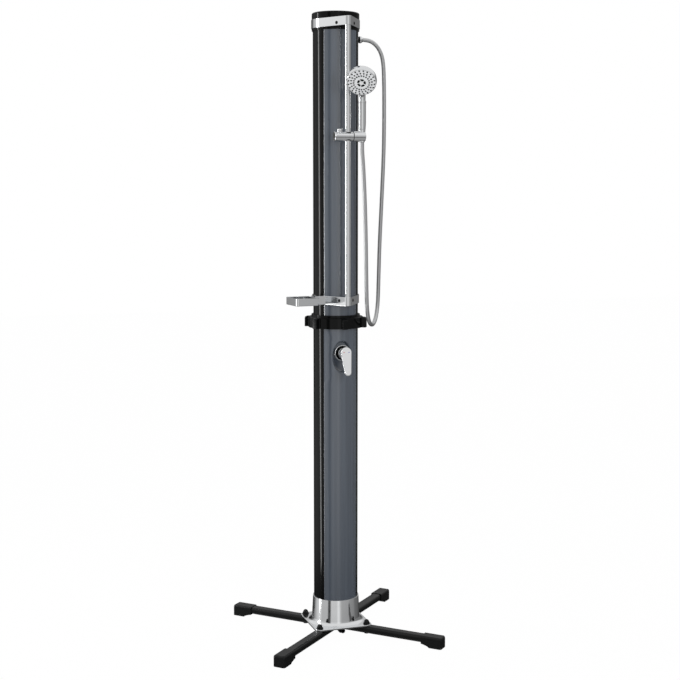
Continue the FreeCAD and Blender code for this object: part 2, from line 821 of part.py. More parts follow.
def make_slider():
    """The slider: a lying cylinder on the bar, with a bush, a brake shoe and a push button."""
    axis = at(0, bar_y, slider_z)
    body = rod(slider_radius, slider_left + slider_right, axis - right * slider_left, right)
    body = rounded(body, slider_end_round, lambda edge: edge.BoundBox.XMax < -slider_left + 0.01)
    hub = rod(hub_radius, washer_thickness + hub_length, axis + right * slider_right, right)
    body = body.fuse(hub)
    bush_radius = bar_radius + running_clearance + bush_wall
    body = body.cut(rod(bush_radius + bush_clearance, 4 * slider_radius, axis - up * 2 * slider_radius, up))

    button_axis = axis - right * button_offset
    spring_foot = -(button_stem_depth + spring_length + 2 * spring_seat_gap)
    stem_bore = rod(button_stem_radius + running_clearance, 2 * slider_radius,
                    button_axis + up * spring_foot, up)
    shoe_bore = rod(shoe_radius + shoe_clearance, button_offset, button_axis, right)
    screw_start = slider_right + washer_thickness + hub_length + holder_web - holder_screw_depth - holder_web
    screw_bore = rod(holder_screw_radius + thread_clearance, holder_screw_depth,
                     axis + right * screw_start, right)
    save("slider_body", body.cut(stem_bore).cut(shoe_bore).cut(screw_bore))

    bush_foot = axis - up * (bush_length / 2)
    bush = sleeve(bush_radius, bar_radius + running_clearance, bush_length, bush_foot, up)
    save("slider_bush", bush.cut(rod(shoe_radius + shoe_clearance, button_offset, button_axis, right)))

    stem_side = button_offset - button_stem_radius - running_clearance
    shoe = rod(shoe_radius, stem_side, axis - right * stem_side, right)
    save("brake_shoe", shoe.cut(rod(bar_radius + running_clearance, 2 * bush_length, axis - up * bush_length, up)))

    spring_radius = button_stem_radius - spring_side_gap
    save("button_spring", sleeve(spring_radius, spring_radius - spring_wall, spring_length,
                                 button_axis + up * (spring_foot + spring_seat_gap), up))

    head_foot = slider_radius + button_travel + button_stop_gap
    stem = rod(button_stem_radius, head_foot + button_stem_depth, button_axis - up * button_stem_depth, up)
    head = rod(button_head_radius, button_head_height, button_axis + up * head_foot, up)
    head_top = slider_z + head_foot + button_head_height
    head = rounded(head, button_head_height * 0.42, lambda edge: edge.BoundBox.ZMin > head_top - 0.01)
    save("release_button", stem.fuse(head).removeSplitter())


def make_holder():
    """The handset holder: a lying cylinder that tilts on the slider's hub, with a conical socket."""
    axis = at(0, bar_y, slider_z)
    save("friction_washer", sleeve(washer_radius, hub_radius + plug_clearance, washer_thickness,
                                   axis + right * slider_right, right))
    start = slider_right + washer_thickness
    body = rod(holder_radius, holder_end - start, axis + right * start, right)
    body = rounded(body, holder_edge_round, lambda edge: edge.Length > 1 and edge.BoundBox.XLength < 0.01)
    body = body.cut(rod(hub_radius + running_clearance, hub_length + 0.2, axis + right * start, right))
    web_start = start + hub_length + 0.2
    body = body.cut(rod(holder_screw_radius + 0.2, holder_web + 1, axis + right * (web_start - 0.5), right))
    pocket_start = web_start + holder_web
    body = body.cut(rod(holder_screw_head_radius + socket_cone_clearance, holder_socket_offset - pocket_start,
                        axis + right * pocket_start, right))
    socket_axis = axis + right * holder_socket_offset
    top = cone_rise
    foot = cone_rise - cone_length
    cone = Part.makeCone(cone_foot_radius + socket_cone_clearance, cone_top_radius + socket_cone_clearance,
                         top - foot, socket_axis + up * foot, up)
    body = body.cut(cone)
    slot = block(holder_socket_offset, holder_end + 1, bar_y - hose_slot / 2, bar_y + hose_slot / 2,
                 slider_z - 2 * holder_radius, slider_z + 2 * holder_radius)
    save("handset_holder", body.cut(slot))

    screw_start = web_start - holder_screw_depth
    shank = rod(holder_screw_radius, holder_screw_depth + holder_web, axis + right * screw_start, right)
    head = rod(holder_screw_head_radius, holder_screw_head_height, axis + right * (pocket_start + 0.1), right)
    neck = rod(holder_screw_radius, 0.2, axis + right * pocket_start, right)
    save("holder_screw", shank.fuse(neck).fuse(head).removeSplitter())


# ================================================================ handset

def handset_axis(z):
    """A point on the handle's axis, this high above the slider's axis."""
    return at(holder_socket_offset, bar_y, slider_z + z)


def head_frame():
    """The face's centre, the way back out of it, and the way that the neck bends."""
    way = spoke(head_turn)
    tilt = math.radians(head_tilt)
    back = way * (-math.cos(tilt)) + up * math.sin(tilt)
    centre = handset_axis(cone_rise + handle_length + handle_bead_height + head_rise) + way * head_reach
    return centre, back, way


def set_on_head(shape):
    """Move a shape that was made round +Z, face at zero, to the head's place."""
    centre, back, way = head_frame()
    across = way.cross(up)
    upward = back.cross(across)
    turn = FreeCAD.Matrix(across.x, upward.x, back.x, centre.x,
                          across.y, upward.y, back.y, centre.y,
                          across.z, upward.z, back.z, centre.z,
                          0, 0, 0, 1)
    return shape.transformed(turn, True)


def head_shell():
    """The round head, turned about its own axis, with the face's recess."""
    recess = face_radius + face_clearance
    recess_back = face_thickness + face_back_gap
    mid = head_shoulder / 2
    points = [
        at(0, 0, recess_back), at(recess, 0, recess_back), at(recess, 0, -0.4),
        at(head_front_radius - 0.8, 0, -0.4), at(head_front_radius, 0, 0.6),
    ]
    shoulder = at(head_shoulder_radius, 0, head_shoulder)
    back_mid = at(head_shoulder_radius * 0.72, 0, head_depth - 3)
    back_end = at(0, 0, head_depth)
    edges = [line(a, b) for a, b in zip(points, points[1:])]
    edges += [
        arc(points[-1], at(head_radius, 0, mid), shoulder), arc(shoulder, back_mid, back_end),
        line(back_end, points[0]),
    ]
    shell = turned(edges, origin, up)
    return shell.cut(rod(face_spindle_radius + running_clearance, face_spindle_length + 1,
                         at(0, 0, face_thickness), up))


def neck():
    """The bent neck, a loft through circles that grow towards the head."""
    way = spoke(head_turn)
    start = handset_axis(cone_rise + handle_length + handle_bead_height)
    stations = 5
    circles = []
    for number in range(stations):
        share = number / (stations - 1)
        angle = math.radians(neck_sweep * share)
        place = start + way * (neck_bend * (1 - math.cos(angle))) + up * (neck_bend * math.sin(angle))
        heading = way * math.sin(angle) + up * math.cos(angle)
        radius = neck_radius + (neck_head_radius - neck_radius) * share ** 2
        circles.append(Part.Wire(Part.Circle(place, heading, radius).toShape()))
    return Part.makeLoft(circles, True, False)


def make_handset():
    """The hand shower: handle, bead, neck and head in one piece, with its threaded stub."""
    foot = handset_axis(cone_rise)
    taper = handle_length * 0.25
    handle = Part.makeCone(handle_foot_radius, handle_radius, taper, foot, up)
    handle = handle.fuse(rod(handle_radius, handle_length - taper, foot + up * taper, up))
    bead = rod(handle_bead_radius, handle_bead_height, foot + up * handle_length, up)
    bead = rounded(bead, handle_bead_radius - handle_radius, lambda edge: edge.BoundBox.ZLength < 0.01)
    stub = rod(stub_radius, stub_length, foot - up * stub_length, up)
    body = handle.fuse(bead).fuse(stub).fuse(neck()).fuse(set_on_head(head_shell()))
    way_in = rod(waterway_radius, handle_length, foot - up * stub_length, up)
    save("handset_body", body.removeSplitter().cut(way_in))


def nozzle_places():
    """The centres of the nozzles on the face: spokes of three, each row turned on a little."""
    places = []
    for spoke_number in range(nozzle_spokes):
        for row in range(nozzle_rows):
            angle = math.radians(360 / nozzle_spokes * spoke_number + nozzle_turn * row)
            radius = nozzle_first_radius + nozzle_pitch * row
            places.append((radius * math.cos(angle), radius * math.sin(angle)))
    return places


def face_level(radius):
    """How far the crowned face stands out at this radius."""
    ball = (face_radius ** 2 + face_crown ** 2) / (2 * face_crown)
    return math.sqrt(ball ** 2 - radius ** 2) - (ball - face_crown)


def make_spray_face():
    """The turning face with its five curved slots, and the rubber nozzles that stand in it."""
    rim = at(face_radius, 0, 0)
    half_way = at(face_radius / 2, 0, -face_level(face_radius / 2))
    middle = at(0, 0, -face_crown)
    back_rim = at(face_radius, 0, face_thickness)
    back_middle = at(0, 0, face_thickness)
    disc = turned([arc(middle, half_way, rim), line(rim, back_rim), line(back_rim, back_middle),
                   line(back_middle, middle)], origin, up)
    disc = disc.fuse(rod(face_spindle_radius, face_spindle_length, at(0, 0, face_thickness), up))
    slot_level = face_level((slot_inner_radius + slot_outer_radius) / 2)
    for number in range(slot_count):
        slot = front_sector(slot_inner_radius, slot_outer_radius, slot_sweep / 2,
                            -2 * face_crown, slot_depth - slot_level)
        disc = disc.cut(turned_about_z(slot, 360 / slot_count * number))
    nozzles = []
    holes = []
    for x, y in nozzle_places():
        level = -face_level(math.hypot(x, y))
        nozzles.append(rod(nozzle_radius, slot_depth + nozzle_proud, at(x, y, level - nozzle_proud), up))
        holes.append(rod(nozzle_radius + running_clearance, slot_depth + 1, at(x, y, level - 1), up))
    disc = disc.cut(Part.makeCompound(holes))
    save("spray_face", set_on_head(disc))
    save("spray_nozzles", set_on_head(Part.makeCompound(nozzles)))


def make_hose_end():
    """The conical nut that joins hose and handle, and the flat washer inside it."""
    top = cone_rise
    foot = cone_rise - cone_length
    nut = Part.makeCone(cone_foot_radius, cone_top_radius, cone_length, handset_axis(foot), up)
    thread_depth = stub_length + hose_washer_thickness
    nut = nut.cut(rod(stub_radius + thread_clearance, thread_depth, handset_axis(top - thread_depth), up))
    nut = nut.cut(rod(waterway_radius, cone_length, handset_axis(foot), up))
    save("handset_nut", nut)
    save("hose_washer", sleeve(stub_radius, waterway_radius, hose_washer_thickness,
                               handset_axis(top - thread_depth), up))


# ================================================================ hose and wall outlet

def outlet_z():
    """The height of the wall outlet."""
    return upper_top - outlet_drop


def make_outlet():
    """The wall outlet on the right side: nipple with flange, gasket and nut."""
    z = outlet_z()
    inside = column_radius - nipple_inside
    gasket_start = column_radius + outlet_flange_height
    thread_start = gasket_start + outlet_gasket_thickness
    flange = rod(outlet_flange_radius, outlet_flange_height + 4, at(column_radius - 4, 0, z), right)
    flange = flange.cut(rod(column_radius + running_clearance, 100, at(0, 0, z - 50), up))
    pipe = rod(nipple_radius, thread_start + nipple_length - inside, at(inside, 0, z), right)
    bore = rod(pipe_radius - pipe_wall, thread_start + nipple_length - inside, at(inside, 0, z), right)
    save("outlet_nipple", flange.fuse(pipe).removeSplitter().cut(bore))
    save("outlet_gasket", sleeve(outlet_gasket_radius, nipple_radius + running_clearance,
                                 outlet_gasket_thickness, at(gasket_start, 0, z), right))
    nut = rod(wall_nut_radius, wall_nut_length - wall_nut_cone, at(thread_start, 0, z), right)
    cone = Part.makeCone(wall_nut_radius, hose_radius + 1, wall_nut_cone,
                         at(thread_start + wall_nut_length - wall_nut_cone, 0, z), right)
    nut = nut.fuse(cone).removeSplitter()
    nut = nut.cut(rod(nipple_radius + thread_clearance, wall_nut_length - nut_end_wall,
                      at(thread_start, 0, z), right))
    nut = nut.cut(rod(waterway_radius, wall_nut_length, at(thread_start, 0, z), right))
    save("hose_wall_nut", nut)


def hose_corners():
    """The corners of the hose's path, from the wall nut down, round the loop and up to the handset."""
    first = at(column_radius + outlet_flange_height + outlet_gasket_thickness + wall_nut_length, 0, outlet_z())
    last = handset_axis(cone_rise - cone_length)
    return [first] + [at(*point) for point in hose_points] + [last]


def make_hose():
    """The hose: straight runs joined by arcs, from the wall nut round its loop to the handset's nut."""
    points = hose_corners()
    edges = []
    radii = []
    start = points[0]
    for before, corner, after in zip(points, points[1:], points[2:]):
        way_in = (corner - before).normalize()
        way_out = (after - corner).normalize()
        half_turn = way_in.getAngle(way_out) / 2
        trim = hose_arc_share * min((corner - before).Length, (after - corner).Length)
        radius = trim / math.tan(half_turn)
        radii.append(radius)
        arc_start = corner - way_in * trim
        arc_end = corner + way_out * trim
        inward = (way_out - way_in).normalize()
        middle = corner + inward * (radius / math.cos(half_turn) - radius)
        edges.append(line(start, arc_start))
        edges.append(arc(arc_start, middle, arc_end))
        start = arc_end
    edges.append(line(start, points[-1]))
    path = Part.Wire(edges)
    section = Part.Wire(Part.Circle(points[0], (points[1] - points[0]).normalize(), hose_radius).toShape())
    hose = path.makePipeShell([section], True, False)
    expected = math.pi * hose_radius ** 2 * path.Length
    print("hose length", round(path.Length), "smallest radius", round(min(radii), 1),
          "volume over section times length", round(hose.Volume / expected, 4))
    save("hose", hose)


# ================================================================ mixer

def make_mixer_valve():
    """The valve body behind the recess, its cartridge, the ring nut and the chromed sleeve."""
    floor = recess_floor
    back = floor - recess_wall
    body = rod(valve_radius, valve_length, at(0, -(back - valve_length), mixer_z), front)
    body = body.fuse(rod(valve_neck_radius, recess_wall + valve_neck_length, at(0, -back, mixer_z), front))
    half = port_block_width / 2
    ports = block(-half, half, -port_block_depth * 2 / 3, port_block_depth / 3,
                  mixer_z - port_block_height / 2, mixer_z + port_block_height / 2)
    body = body.fuse(ports).removeSplitter()
    neck_end = floor + valve_neck_length
    seat = neck_end - cartridge_depth
    body = body.cut(rod(cartridge_radius + cartridge_clearance, cartridge_depth, at(0, -seat, mixer_z), front))
    save("mixer_body", body)

    cartridge = rod(cartridge_radius, cartridge_depth, at(0, -seat, mixer_z), front)
    cartridge = cartridge.fuse(rod(cartridge_neck_radius, cartridge_neck_length, at(0, -neck_end, mixer_z), front))
    face = neck_end + cartridge_neck_length
    cartridge = cartridge.cut(rod(spindle_radius + running_clearance, spindle_inside + 0.2,
                                  at(0, -(face - spindle_inside - 0.2), mixer_z), front))
    save("mixer_cartridge", cartridge)

    nut_start = floor + sleeve_foot + 0.2
    skirt = neck_end - nut_start
    nut = sleeve(ring_nut_radius, valve_neck_radius + thread_clearance, skirt, at(0, -nut_start, mixer_z), front)
    nut = nut.fuse(sleeve(ring_nut_radius, cartridge_neck_radius + socket_cone_clearance, ring_nut_lip,
                          at(0, -neck_end, mixer_z), front))
    save("cartridge_nut", nut.removeSplitter())

    ring = sleeve(sleeve_radius, sleeve_radius - sleeve_wall, sleeve_length, at(0, -floor, mixer_z), front)
    ring = ring.fuse(sleeve(sleeve_radius, valve_neck_radius + thread_clearance, sleeve_foot,
                            at(0, -floor, mixer_z), front)).removeSplitter()
    ring = rounded(ring, sleeve_wall * 0.4,
                   lambda edge: edge.BoundBox.YMax < -(floor + sleeve_length) + 0.01)
    save("mixer_sleeve", ring)


def lever_pivot():
    """The point that the lever lifts about."""
    return at(0, -(recess_floor + sleeve_length + lever_gap + lever_pivot_depth), mixer_z)


def make_mixer_spindle():
    """The spindle that turns in the cartridge, and the pin that the lever lifts on."""
    pivot = lever_pivot()
    face = recess_floor + valve_neck_length + cartridge_neck_length
    start = face - spindle_inside
    pivot_reach = -pivot.y
    stem = rod(spindle_radius, pivot_reach - tongue_height * 0.7 - start, at(0, -start, mixer_z), front)
    half = tongue_thickness / 2
    half_height = tongue_height / 2
    tongue_back = pivot_reach - tongue_height * 0.7
    tongue = block(-half, half, -pivot_reach, -tongue_back + 0.5, mixer_z - half_height, mixer_z + half_height)
    tongue = tongue.fuse(rod(half_height, tongue_thickness, pivot - right * half, right))
    tongue = tongue.cut(rod(lever_pin_radius + running_clearance, tongue_thickness, pivot - right * half, right))
    save("mixer_spindle", stem.fuse(tongue).removeSplitter())
    length = 2 * (lever_skirt_radius - 1)
    save("lever_pin", rod(lever_pin_radius, length, pivot - right * (length / 2), right))


def lever_blade():
    """The lever's blade: a drop-shaped plate that leans out towards its tip."""
    top = lever_top_radius
    tip = lever_tip_radius
    reach = lever_reach
    spread = math.acos((top - tip) / reach)
    side_x = math.sin(spread)
    side_z = math.cos(spread)
    top_right = at(top * side_x, 0, -top * side_z)
    tip_right = at(tip * side_x, 0, -reach - tip * side_z)
    top_left = at(-top_right.x, 0, top_right.z)
    tip_left = at(-tip_right.x, 0, tip_right.z)
    outline = Part.Wire([
        arc(top_left, at(0, 0, top), top_right), line(top_right, tip_right),
        arc(tip_right, at(0, 0, -reach - tip), tip_left), line(tip_left, top_left),
    ])
    blade = Part.Face(outline).extrude(front * lever_thickness)
    return blade


def lever_face():
    """The centre of the blade's round top, on its front face."""
    return at(0, -(recess_floor + sleeve_length + lever_gap + lever_stem), mixer_z + lever_rise)


def set_on_lever(shape):
    """Lean a shape that was made upright at the origin and set it on the lever's face."""
    copy = shape.copy()
    copy.rotate(origin, right, -lever_lean)
    copy.translate(lever_face())
    return copy


def make_mixer_lever():
    """The lever: a hollow skirt over the spindle and the blade in front of it, with two marks."""
    skirt_edge = recess_floor + sleeve_length + lever_gap
    pivot = lever_pivot()
    blade = lever_blade()
    blade.translate(at(0, lever_thickness, 0))
    blade = rounded(blade, lever_edge_round,
                    lambda edge: max(abs(edge.BoundBox.YMin), abs(edge.BoundBox.YMax)) < 0.01)
    blade = rounded(blade, 1.0, lambda edge: edge.BoundBox.YMin > lever_thickness - 0.01)
    behind = set_on_lever(block(-60, 60, lever_thickness * 0.6, 120, -120, 60))
    skirt = rod(lever_skirt_radius, lever_stem + 20, at(0, -skirt_edge, mixer_z), front)
    skirt = skirt.common(behind)
    lever = set_on_lever(blade).fuse(skirt).removeSplitter()
    cavity = rod(lever_skirt_radius - lever_skirt_wall, lever_cavity, at(0, -skirt_edge, mixer_z), front)
    lever = lever.cut(cavity)
    length = 2 * (lever_skirt_radius + 1)
    lever = lever.cut(rod(lever_pin_radius + running_clearance, length, pivot - right * (length / 2), right))
    save("mixer_lever", lever)

    for name, side in (("hot_mark", -1), ("cold_mark", 1)):
        mark = rod(mark_radius, mark_height, at(side * mark_spread, 0, 0), front)
        save(name, set_on_lever(mark))


# ================================================================ pipes and inlet

def hollow(outer, inner):
    """A pipe from its outer form and its bore."""
    return outer.removeSplitter().cut(inner.removeSplitter())


def make_pipes():
    """Cold feed up to the mixer, hot feed down from the tank's top, and the riser to the wall outlet."""
    bore = pipe_radius - pipe_wall
    cold_start = plate_top + inlet_rise
    cold = sleeve(pipe_radius, bore, mixer_z - cold_start, at(0, -inlet_offset, cold_start), up)
    save("cold_feed_pipe", cold.cut(rod(valve_radius, 2 * column_radius, at(0, 0, mixer_z), front)))
    port_top = mixer_z + port_block_height / 2
    hot_end = upper_top - hot_pipe_drop
    save("hot_feed_pipe", sleeve(pipe_radius, bore, hot_end - port_top, at(-pipe_spread, 0, port_top), up))

    bend_start = outlet_z() - pipe_elbow
    bend_centre = at(pipe_spread + pipe_elbow, 0, bend_start)
    run = column_radius - nipple_inside - pipe_spread - pipe_elbow

    def riser_form(radius):
        upright = rod(radius, bend_start - port_top, at(pipe_spread, 0, port_top), up)
        ring = Part.Wire(Part.Circle(at(pipe_spread, 0, bend_start), up, radius).toShape())
        bend = Part.Face(ring).revolve(bend_centre, at(0, 1, 0), 90)
        level = rod(radius, run, at(pipe_spread + pipe_elbow, 0, outlet_z()), right)
        return upright.fuse(bend).fuse(level)

    save("riser_pipe", hollow(riser_form(pipe_radius), riser_form(bore)))


def make_inlet():
    """The elbow under the plate that takes the garden hose, and its spigot that points forward."""
    top = plate_top + inlet_rise
    bend = rod(inlet_radius, top - inlet_height, at(0, -inlet_offset, inlet_height), up)
    knee = Part.makeSphere(inlet_radius, at(0, -inlet_offset, inlet_height))
    mouth = rod(inlet_radius, inlet_radius + 3, at(0, -inlet_offset, inlet_height), front)
    elbow = bend.fuse(knee).fuse(mouth).removeSplitter()
    elbow = elbow.cut(rod(spigot_bore, top - inlet_height, at(0, -inlet_offset, inlet_height), up))
    elbow = elbow.cut(rod(spigot_bore, inlet_radius + 3, at(0, -inlet_offset, inlet_height), front))
    save("inlet_elbow", elbow)

    start = inlet_offset + inlet_radius + 3
    length = spigot_tip - start
    barrel = rod(spigot_pipe_radius, length, at(0, -start, inlet_height), front)
    collar = rod(connector_radius, connector_length, at(0, -start, inlet_height), front)
    collar = rounded(collar, 1.5, lambda edge: edge.BoundBox.YLength < 0.01)
    catch = rod(spigot_pipe_radius + 1.4, 3, at(0, -(start + connector_length + 6), inlet_height), front)
    spigot = barrel.fuse(collar).fuse(catch).removeSplitter()
    save("inlet_spigot", spigot.cut(rod(spigot_bore, length, at(0, -start, inlet_height), front)))


os.makedirs("parts", exist_ok=True)
make_cross()
make_end_feet()
make_base_flange()
make_bolts_and_nuts()
make_lower_tube()
make_upper_tube()
make_plugs()
make_joint()
make_top_cap()
make_brackets()
make_slide_bar()
make_soap_dish()
make_slider()
make_holder()
make_handset()
make_spray_face()
make_hose_end()
make_outlet()
make_hose()
make_mixer_valve()
make_mixer_spindle()
make_mixer_lever()
make_pipes()
make_inlet()
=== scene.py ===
# %% [markdown]
# # An outdoor shower post
# The object is a free-standing garden shower: a tall column of two tubes on a cross foot, with a
# slide bar, a hand shower on a hose, a soap dish and a lever mixer in a recess of the front panel.
# The solids of the part come in first and stay where they are. This script gives them their looks:
# finer meshes for the long and glossy pieces, and a finish for every surface.

import json
import math

import bmesh
import bpy
from mathutils import Matrix, Vector

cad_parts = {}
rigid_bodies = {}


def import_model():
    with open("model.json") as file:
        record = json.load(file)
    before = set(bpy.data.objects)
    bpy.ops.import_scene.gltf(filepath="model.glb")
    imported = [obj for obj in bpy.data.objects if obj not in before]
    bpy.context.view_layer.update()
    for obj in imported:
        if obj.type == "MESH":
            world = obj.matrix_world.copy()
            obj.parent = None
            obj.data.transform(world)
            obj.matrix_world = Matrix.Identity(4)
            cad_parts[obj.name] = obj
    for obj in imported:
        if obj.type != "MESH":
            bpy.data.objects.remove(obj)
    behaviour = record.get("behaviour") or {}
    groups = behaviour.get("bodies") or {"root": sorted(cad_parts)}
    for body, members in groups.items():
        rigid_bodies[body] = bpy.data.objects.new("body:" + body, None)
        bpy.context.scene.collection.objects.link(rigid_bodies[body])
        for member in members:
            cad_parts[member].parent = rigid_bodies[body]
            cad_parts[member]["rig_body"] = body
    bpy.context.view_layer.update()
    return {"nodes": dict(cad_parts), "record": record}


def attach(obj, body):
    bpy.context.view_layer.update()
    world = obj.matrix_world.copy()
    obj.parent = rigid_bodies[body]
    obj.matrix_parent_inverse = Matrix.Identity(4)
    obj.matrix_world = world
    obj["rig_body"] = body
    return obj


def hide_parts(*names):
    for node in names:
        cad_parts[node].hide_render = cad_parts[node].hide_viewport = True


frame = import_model()
mm = 0.001

# %% [markdown]
# ## Camera
# The photograph was taken from a standing person's eye height, a little to the left of the front,
# with a fairly long lens. A long lens keeps the two sides of the column almost parallel. The place
# and the lens were fitted to the height of the cap, the collar and the feet.

# %% Camera
camera_data = bpy.data.cameras.new("camera")
camera_data.lens = 70.13
camera_data.sensor_width = 36.0
camera = bpy.data.objects.new("camera", camera_data)
camera.location = (-1.428, -4.395, 1.6003)
camera.rotation_euler = (math.radians(83.25), 0.0, math.radians(-18.19))
bpy.context.scene.collection.objects.link(camera)
bpy.context.scene.camera = camera
print("camera looks down by", round(90 - math.degrees(camera.rotation_euler.x), 2), "degrees")

# %% [markdown]
# ## Skins from rings
# Nearly every piece here is a stack of rings with the same number of points: a turned piece, a hose,
# a rounded tray, a rounded bar. One helper joins such rings into a closed mesh of four-sided faces,
# which shades evenly and is easy to change. Modifiers then round what is left sharp.

# %% Piece helpers
def new_piece(name, points, faces):
    """A mesh object in the scene, with its faces turned outward."""
    mesh = bpy.data.meshes.new(name)
    mesh.from_pydata([tuple(point) for point in points], [], faces)
    work = bmesh.new()
    work.from_mesh(mesh)
    bmesh.ops.remove_doubles(work, verts=work.verts, dist=1e-7)
    bmesh.ops.recalc_face_normals(work, faces=work.faces)
    work.to_mesh(mesh)
    work.free()
    piece = bpy.data.objects.new(name, mesh)
    bpy.context.scene.collection.objects.link(piece)
    return piece


def smooth(piece, degrees=32.0):
    """Smooth shading, but for edges that turn by more than this."""
    piece.data.shade_smooth()
    piece.data.set_sharp_from_angle(angle=math.radians(degrees))
    return piece


# %% Skin helpers
def ring_faces(count, total, first, ends):
    """Faces between stacked rings. The ends are closed by caps, or joined to each other."""
    faces = []
    for index in range(total if ends == "joined" else total - 1):
        a = first + index * count
        b = first + (index + 1) % total * count
        for step in range(count):
            after = (step + 1) % count
            faces.append((a + step, a + after, b + after, b + step))
    if ends == "caps":
        faces.append(tuple(range(first, first + count)))
        faces.append(tuple(range(first + (total - 1) * count, first + total * count)))
    return faces


def skins(name, stacks, ends="caps"):
    """One mesh from several stacks of rings."""
    points = []
    faces = []
    for rings in stacks:
        faces += ring_faces(len(rings[0]), len(rings), len(points), ends)
        points += [point for ring in rings for point in ring]
    return smooth(new_piece(name, points, faces))


def skin(name, rings, ends="caps"):
    """One mesh from one stack of rings."""
    return skins(name, [rings], ends)


# %% [markdown]
# ## Round corners in outlines
# Real pieces have no knife edges. A bevel could round them later, but it fails where edges lie close
# together. So an outline is given as corners with a radius each, and a helper puts a short arc in
# place of each corner. A finer arc costs points, so a small corner gets only a few.

# %% Outline helpers
def eased(corners, steps=6):
    """An outline with an arc at each corner. A corner is (across, along, radius)."""
    outline = []
    total = len(corners)
    for index in range(total):
        x, y, radius = corners[index]
        here = Vector((x, y))
        before = Vector(corners[index - 1][:2]) - here
        after = Vector(corners[(index + 1) % total][:2]) - here
        if radius <= 0:
            outline.append(here)
            continue
        half = before.angle(after) / 2
        trim = min(radius / math.tan(half), before.length * 0.49, after.length * 0.49)
        radius = trim * math.tan(half)
        inward = (before.normalized() + after.normalized()).normalized()
        middle = here + inward * (radius / math.sin(half))
        start = here + before.normalized() * trim - middle
        end = here + after.normalized() * trim - middle
        turn = math.atan2(start.x * end.y - start.y * end.x, start.dot(end))
        for step in range(steps + 1):
            angle = turn * step / steps
            c, s = math.cos(angle), math.sin(angle)
            outline.append(middle + Vector((start.x * c - start.y * s, start.x * s + start.y * c)))
    return outline


def box_outline(low, high, radius, steps, top_radius=None):
    """A rectangle between two corners, with round corners."""
    top = radius if top_radius is None else top_radius
    return eased([(low[0], low[1], radius), (high[0], low[1], radius),
                  (high[0], high[1], top), (low[0], high[1], top)], steps)


def quarter(radius, steps):
    """A quarter round, as (how far it has moved in, how far it still has to go)."""
    angles = [math.pi / 2 * step / steps for step in range(steps + 1)]
    return [(radius * (1 - math.cos(angle)), radius * (1 - math.sin(angle))) for angle in angles]


def circle_points(radius, steps):
    """Points on a circle round the origin."""
    turns = [2 * math.pi * step / steps for step in range(steps)]
    return [(radius * math.cos(turn), radius * math.sin(turn)) for turn in turns]


# %% [markdown]
# ## Turned pieces
# Caps, nuts and the sleeve of the mixer are turned on a lathe or moulded in a round form. Their
# outline is a closed loop of (radius, height). A screw modifier could turn it, but only round its own
# axis. The helper takes a place and a direction, so it makes a lying slider as well as a cap.

# %% Turning helper
def frame_on(place, direction):
    """A matrix from millimetres along +Z to metres along the direction, from the place."""
    heading = Vector(direction).to_track_quat("Z", "Y").to_matrix().to_4x4()
    return Matrix.Scale(mm, 4) @ Matrix.Translation(place) @ heading


def turned(name, corners, place=(0, 0, 0), direction=(0, 0, 1), steps=96, arc_steps=6):
    """A closed outline of (radius, height, corner radius) in mm, turned once round an axis."""
    matrix = frame_on(place, direction)
    rings = []
    for radius, height in eased(corners, arc_steps):
        circle = circle_points(max(radius, 0.0), steps)
        rings.append([matrix @ Vector((x, y, height)) for x, y in circle])
    return skin(name, rings, "joined")


# %% [markdown]
# ## Joining and cutting
# Holes and joined forms come from the Boolean modifier. It is applied at once, so that later modifiers
# and the finishes see one clean mesh, and the helper piece goes away. Weighted normals then let the
# wide faces decide the shading, so that a small round doesn't darken the flat beside it.

# %% Joining helpers
def applied(piece):
    """Keep what the modifiers make of a piece as its mesh."""
    graph = bpy.context.evaluated_depsgraph_get()
    mesh = bpy.data.meshes.new_from_object(piece.evaluated_get(graph))
    piece.modifiers.clear()
    piece.data = mesh
    return piece


def combined(piece, tool, operation):
    """Join a second piece to the first, or cut it away."""
    step = piece.modifiers.new(operation.lower(), "BOOLEAN")
    step.operation = operation
    step.solver = "EXACT"
    step.object = tool
    applied(piece)
    bpy.data.objects.remove(tool)
    return smooth(piece)


def bevelled(piece, width, degrees):
    """Round the edges that turn by more than this."""
    step = piece.modifiers.new("edge_round", "BEVEL")
    step.width = width
    step.segments = 3
    step.limit_method = "ANGLE"
    step.angle_limit = math.radians(degrees)
    applied(piece)
    return smooth(piece)


def even(piece):
    """Let wide flat faces decide the shading where they meet a small round."""
    step = piece.modifiers.new("even_shading", "WEIGHTED_NORMAL")
    step.keep_sharp = True
    return applied(piece)


# %% Cutting helpers
def level(outline, height):
    """A ring of points at one height, from an outline in mm."""
    return [Vector((x, y, height)) * mm for x, y in outline]


def slab(name, outline, low, high):
    """A flat outline of (x, y) in mm, drawn up from one height to another."""
    return skin(name, [level(outline, height) for height in (low, high)])


def bored(piece, radius, start, length, direction=(0, 0, 1), steps=64):
    """Bore a round hole in a piece. Sizes and the start are in mm."""
    profile = [(0, 0, 0), (radius, 0, 0), (radius, length, 0), (0, length, 0)]
    hole = turned("hole", profile, start, direction, steps)
    return combined(piece, hole, "DIFFERENCE")


def swung(points, degrees):
    """Points turned about the column's axis."""
    turn = Matrix.Rotation(math.radians(degrees), 4, "Z")
    return [turn @ point for point in points]


# %% [markdown]
# ## Dressing a piece
# A new piece stands for one or more solids, moves with the same body, and takes the finish of the
# solid that it replaces. This helper does those three things and reports the piece's faces.

# %% Dressing helper
slot_of = {part["node"]: part["material_slot"] for part in frame["record"]["subparts"]}
finishes = {}
dressed = []


def dress(piece, *nodes):
    """Let a new piece stand for solids, with their body and their finish."""
    even(piece)
    body = frame["nodes"][nodes[0]]["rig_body"]
    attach(piece, body)
    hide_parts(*nodes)
    piece.data.materials.clear()
    piece.data.materials.append(finishes[slot_of[nodes[0]]])
    dressed.append(piece.name)
    print(piece.name, "faces", len(piece.data.polygons))


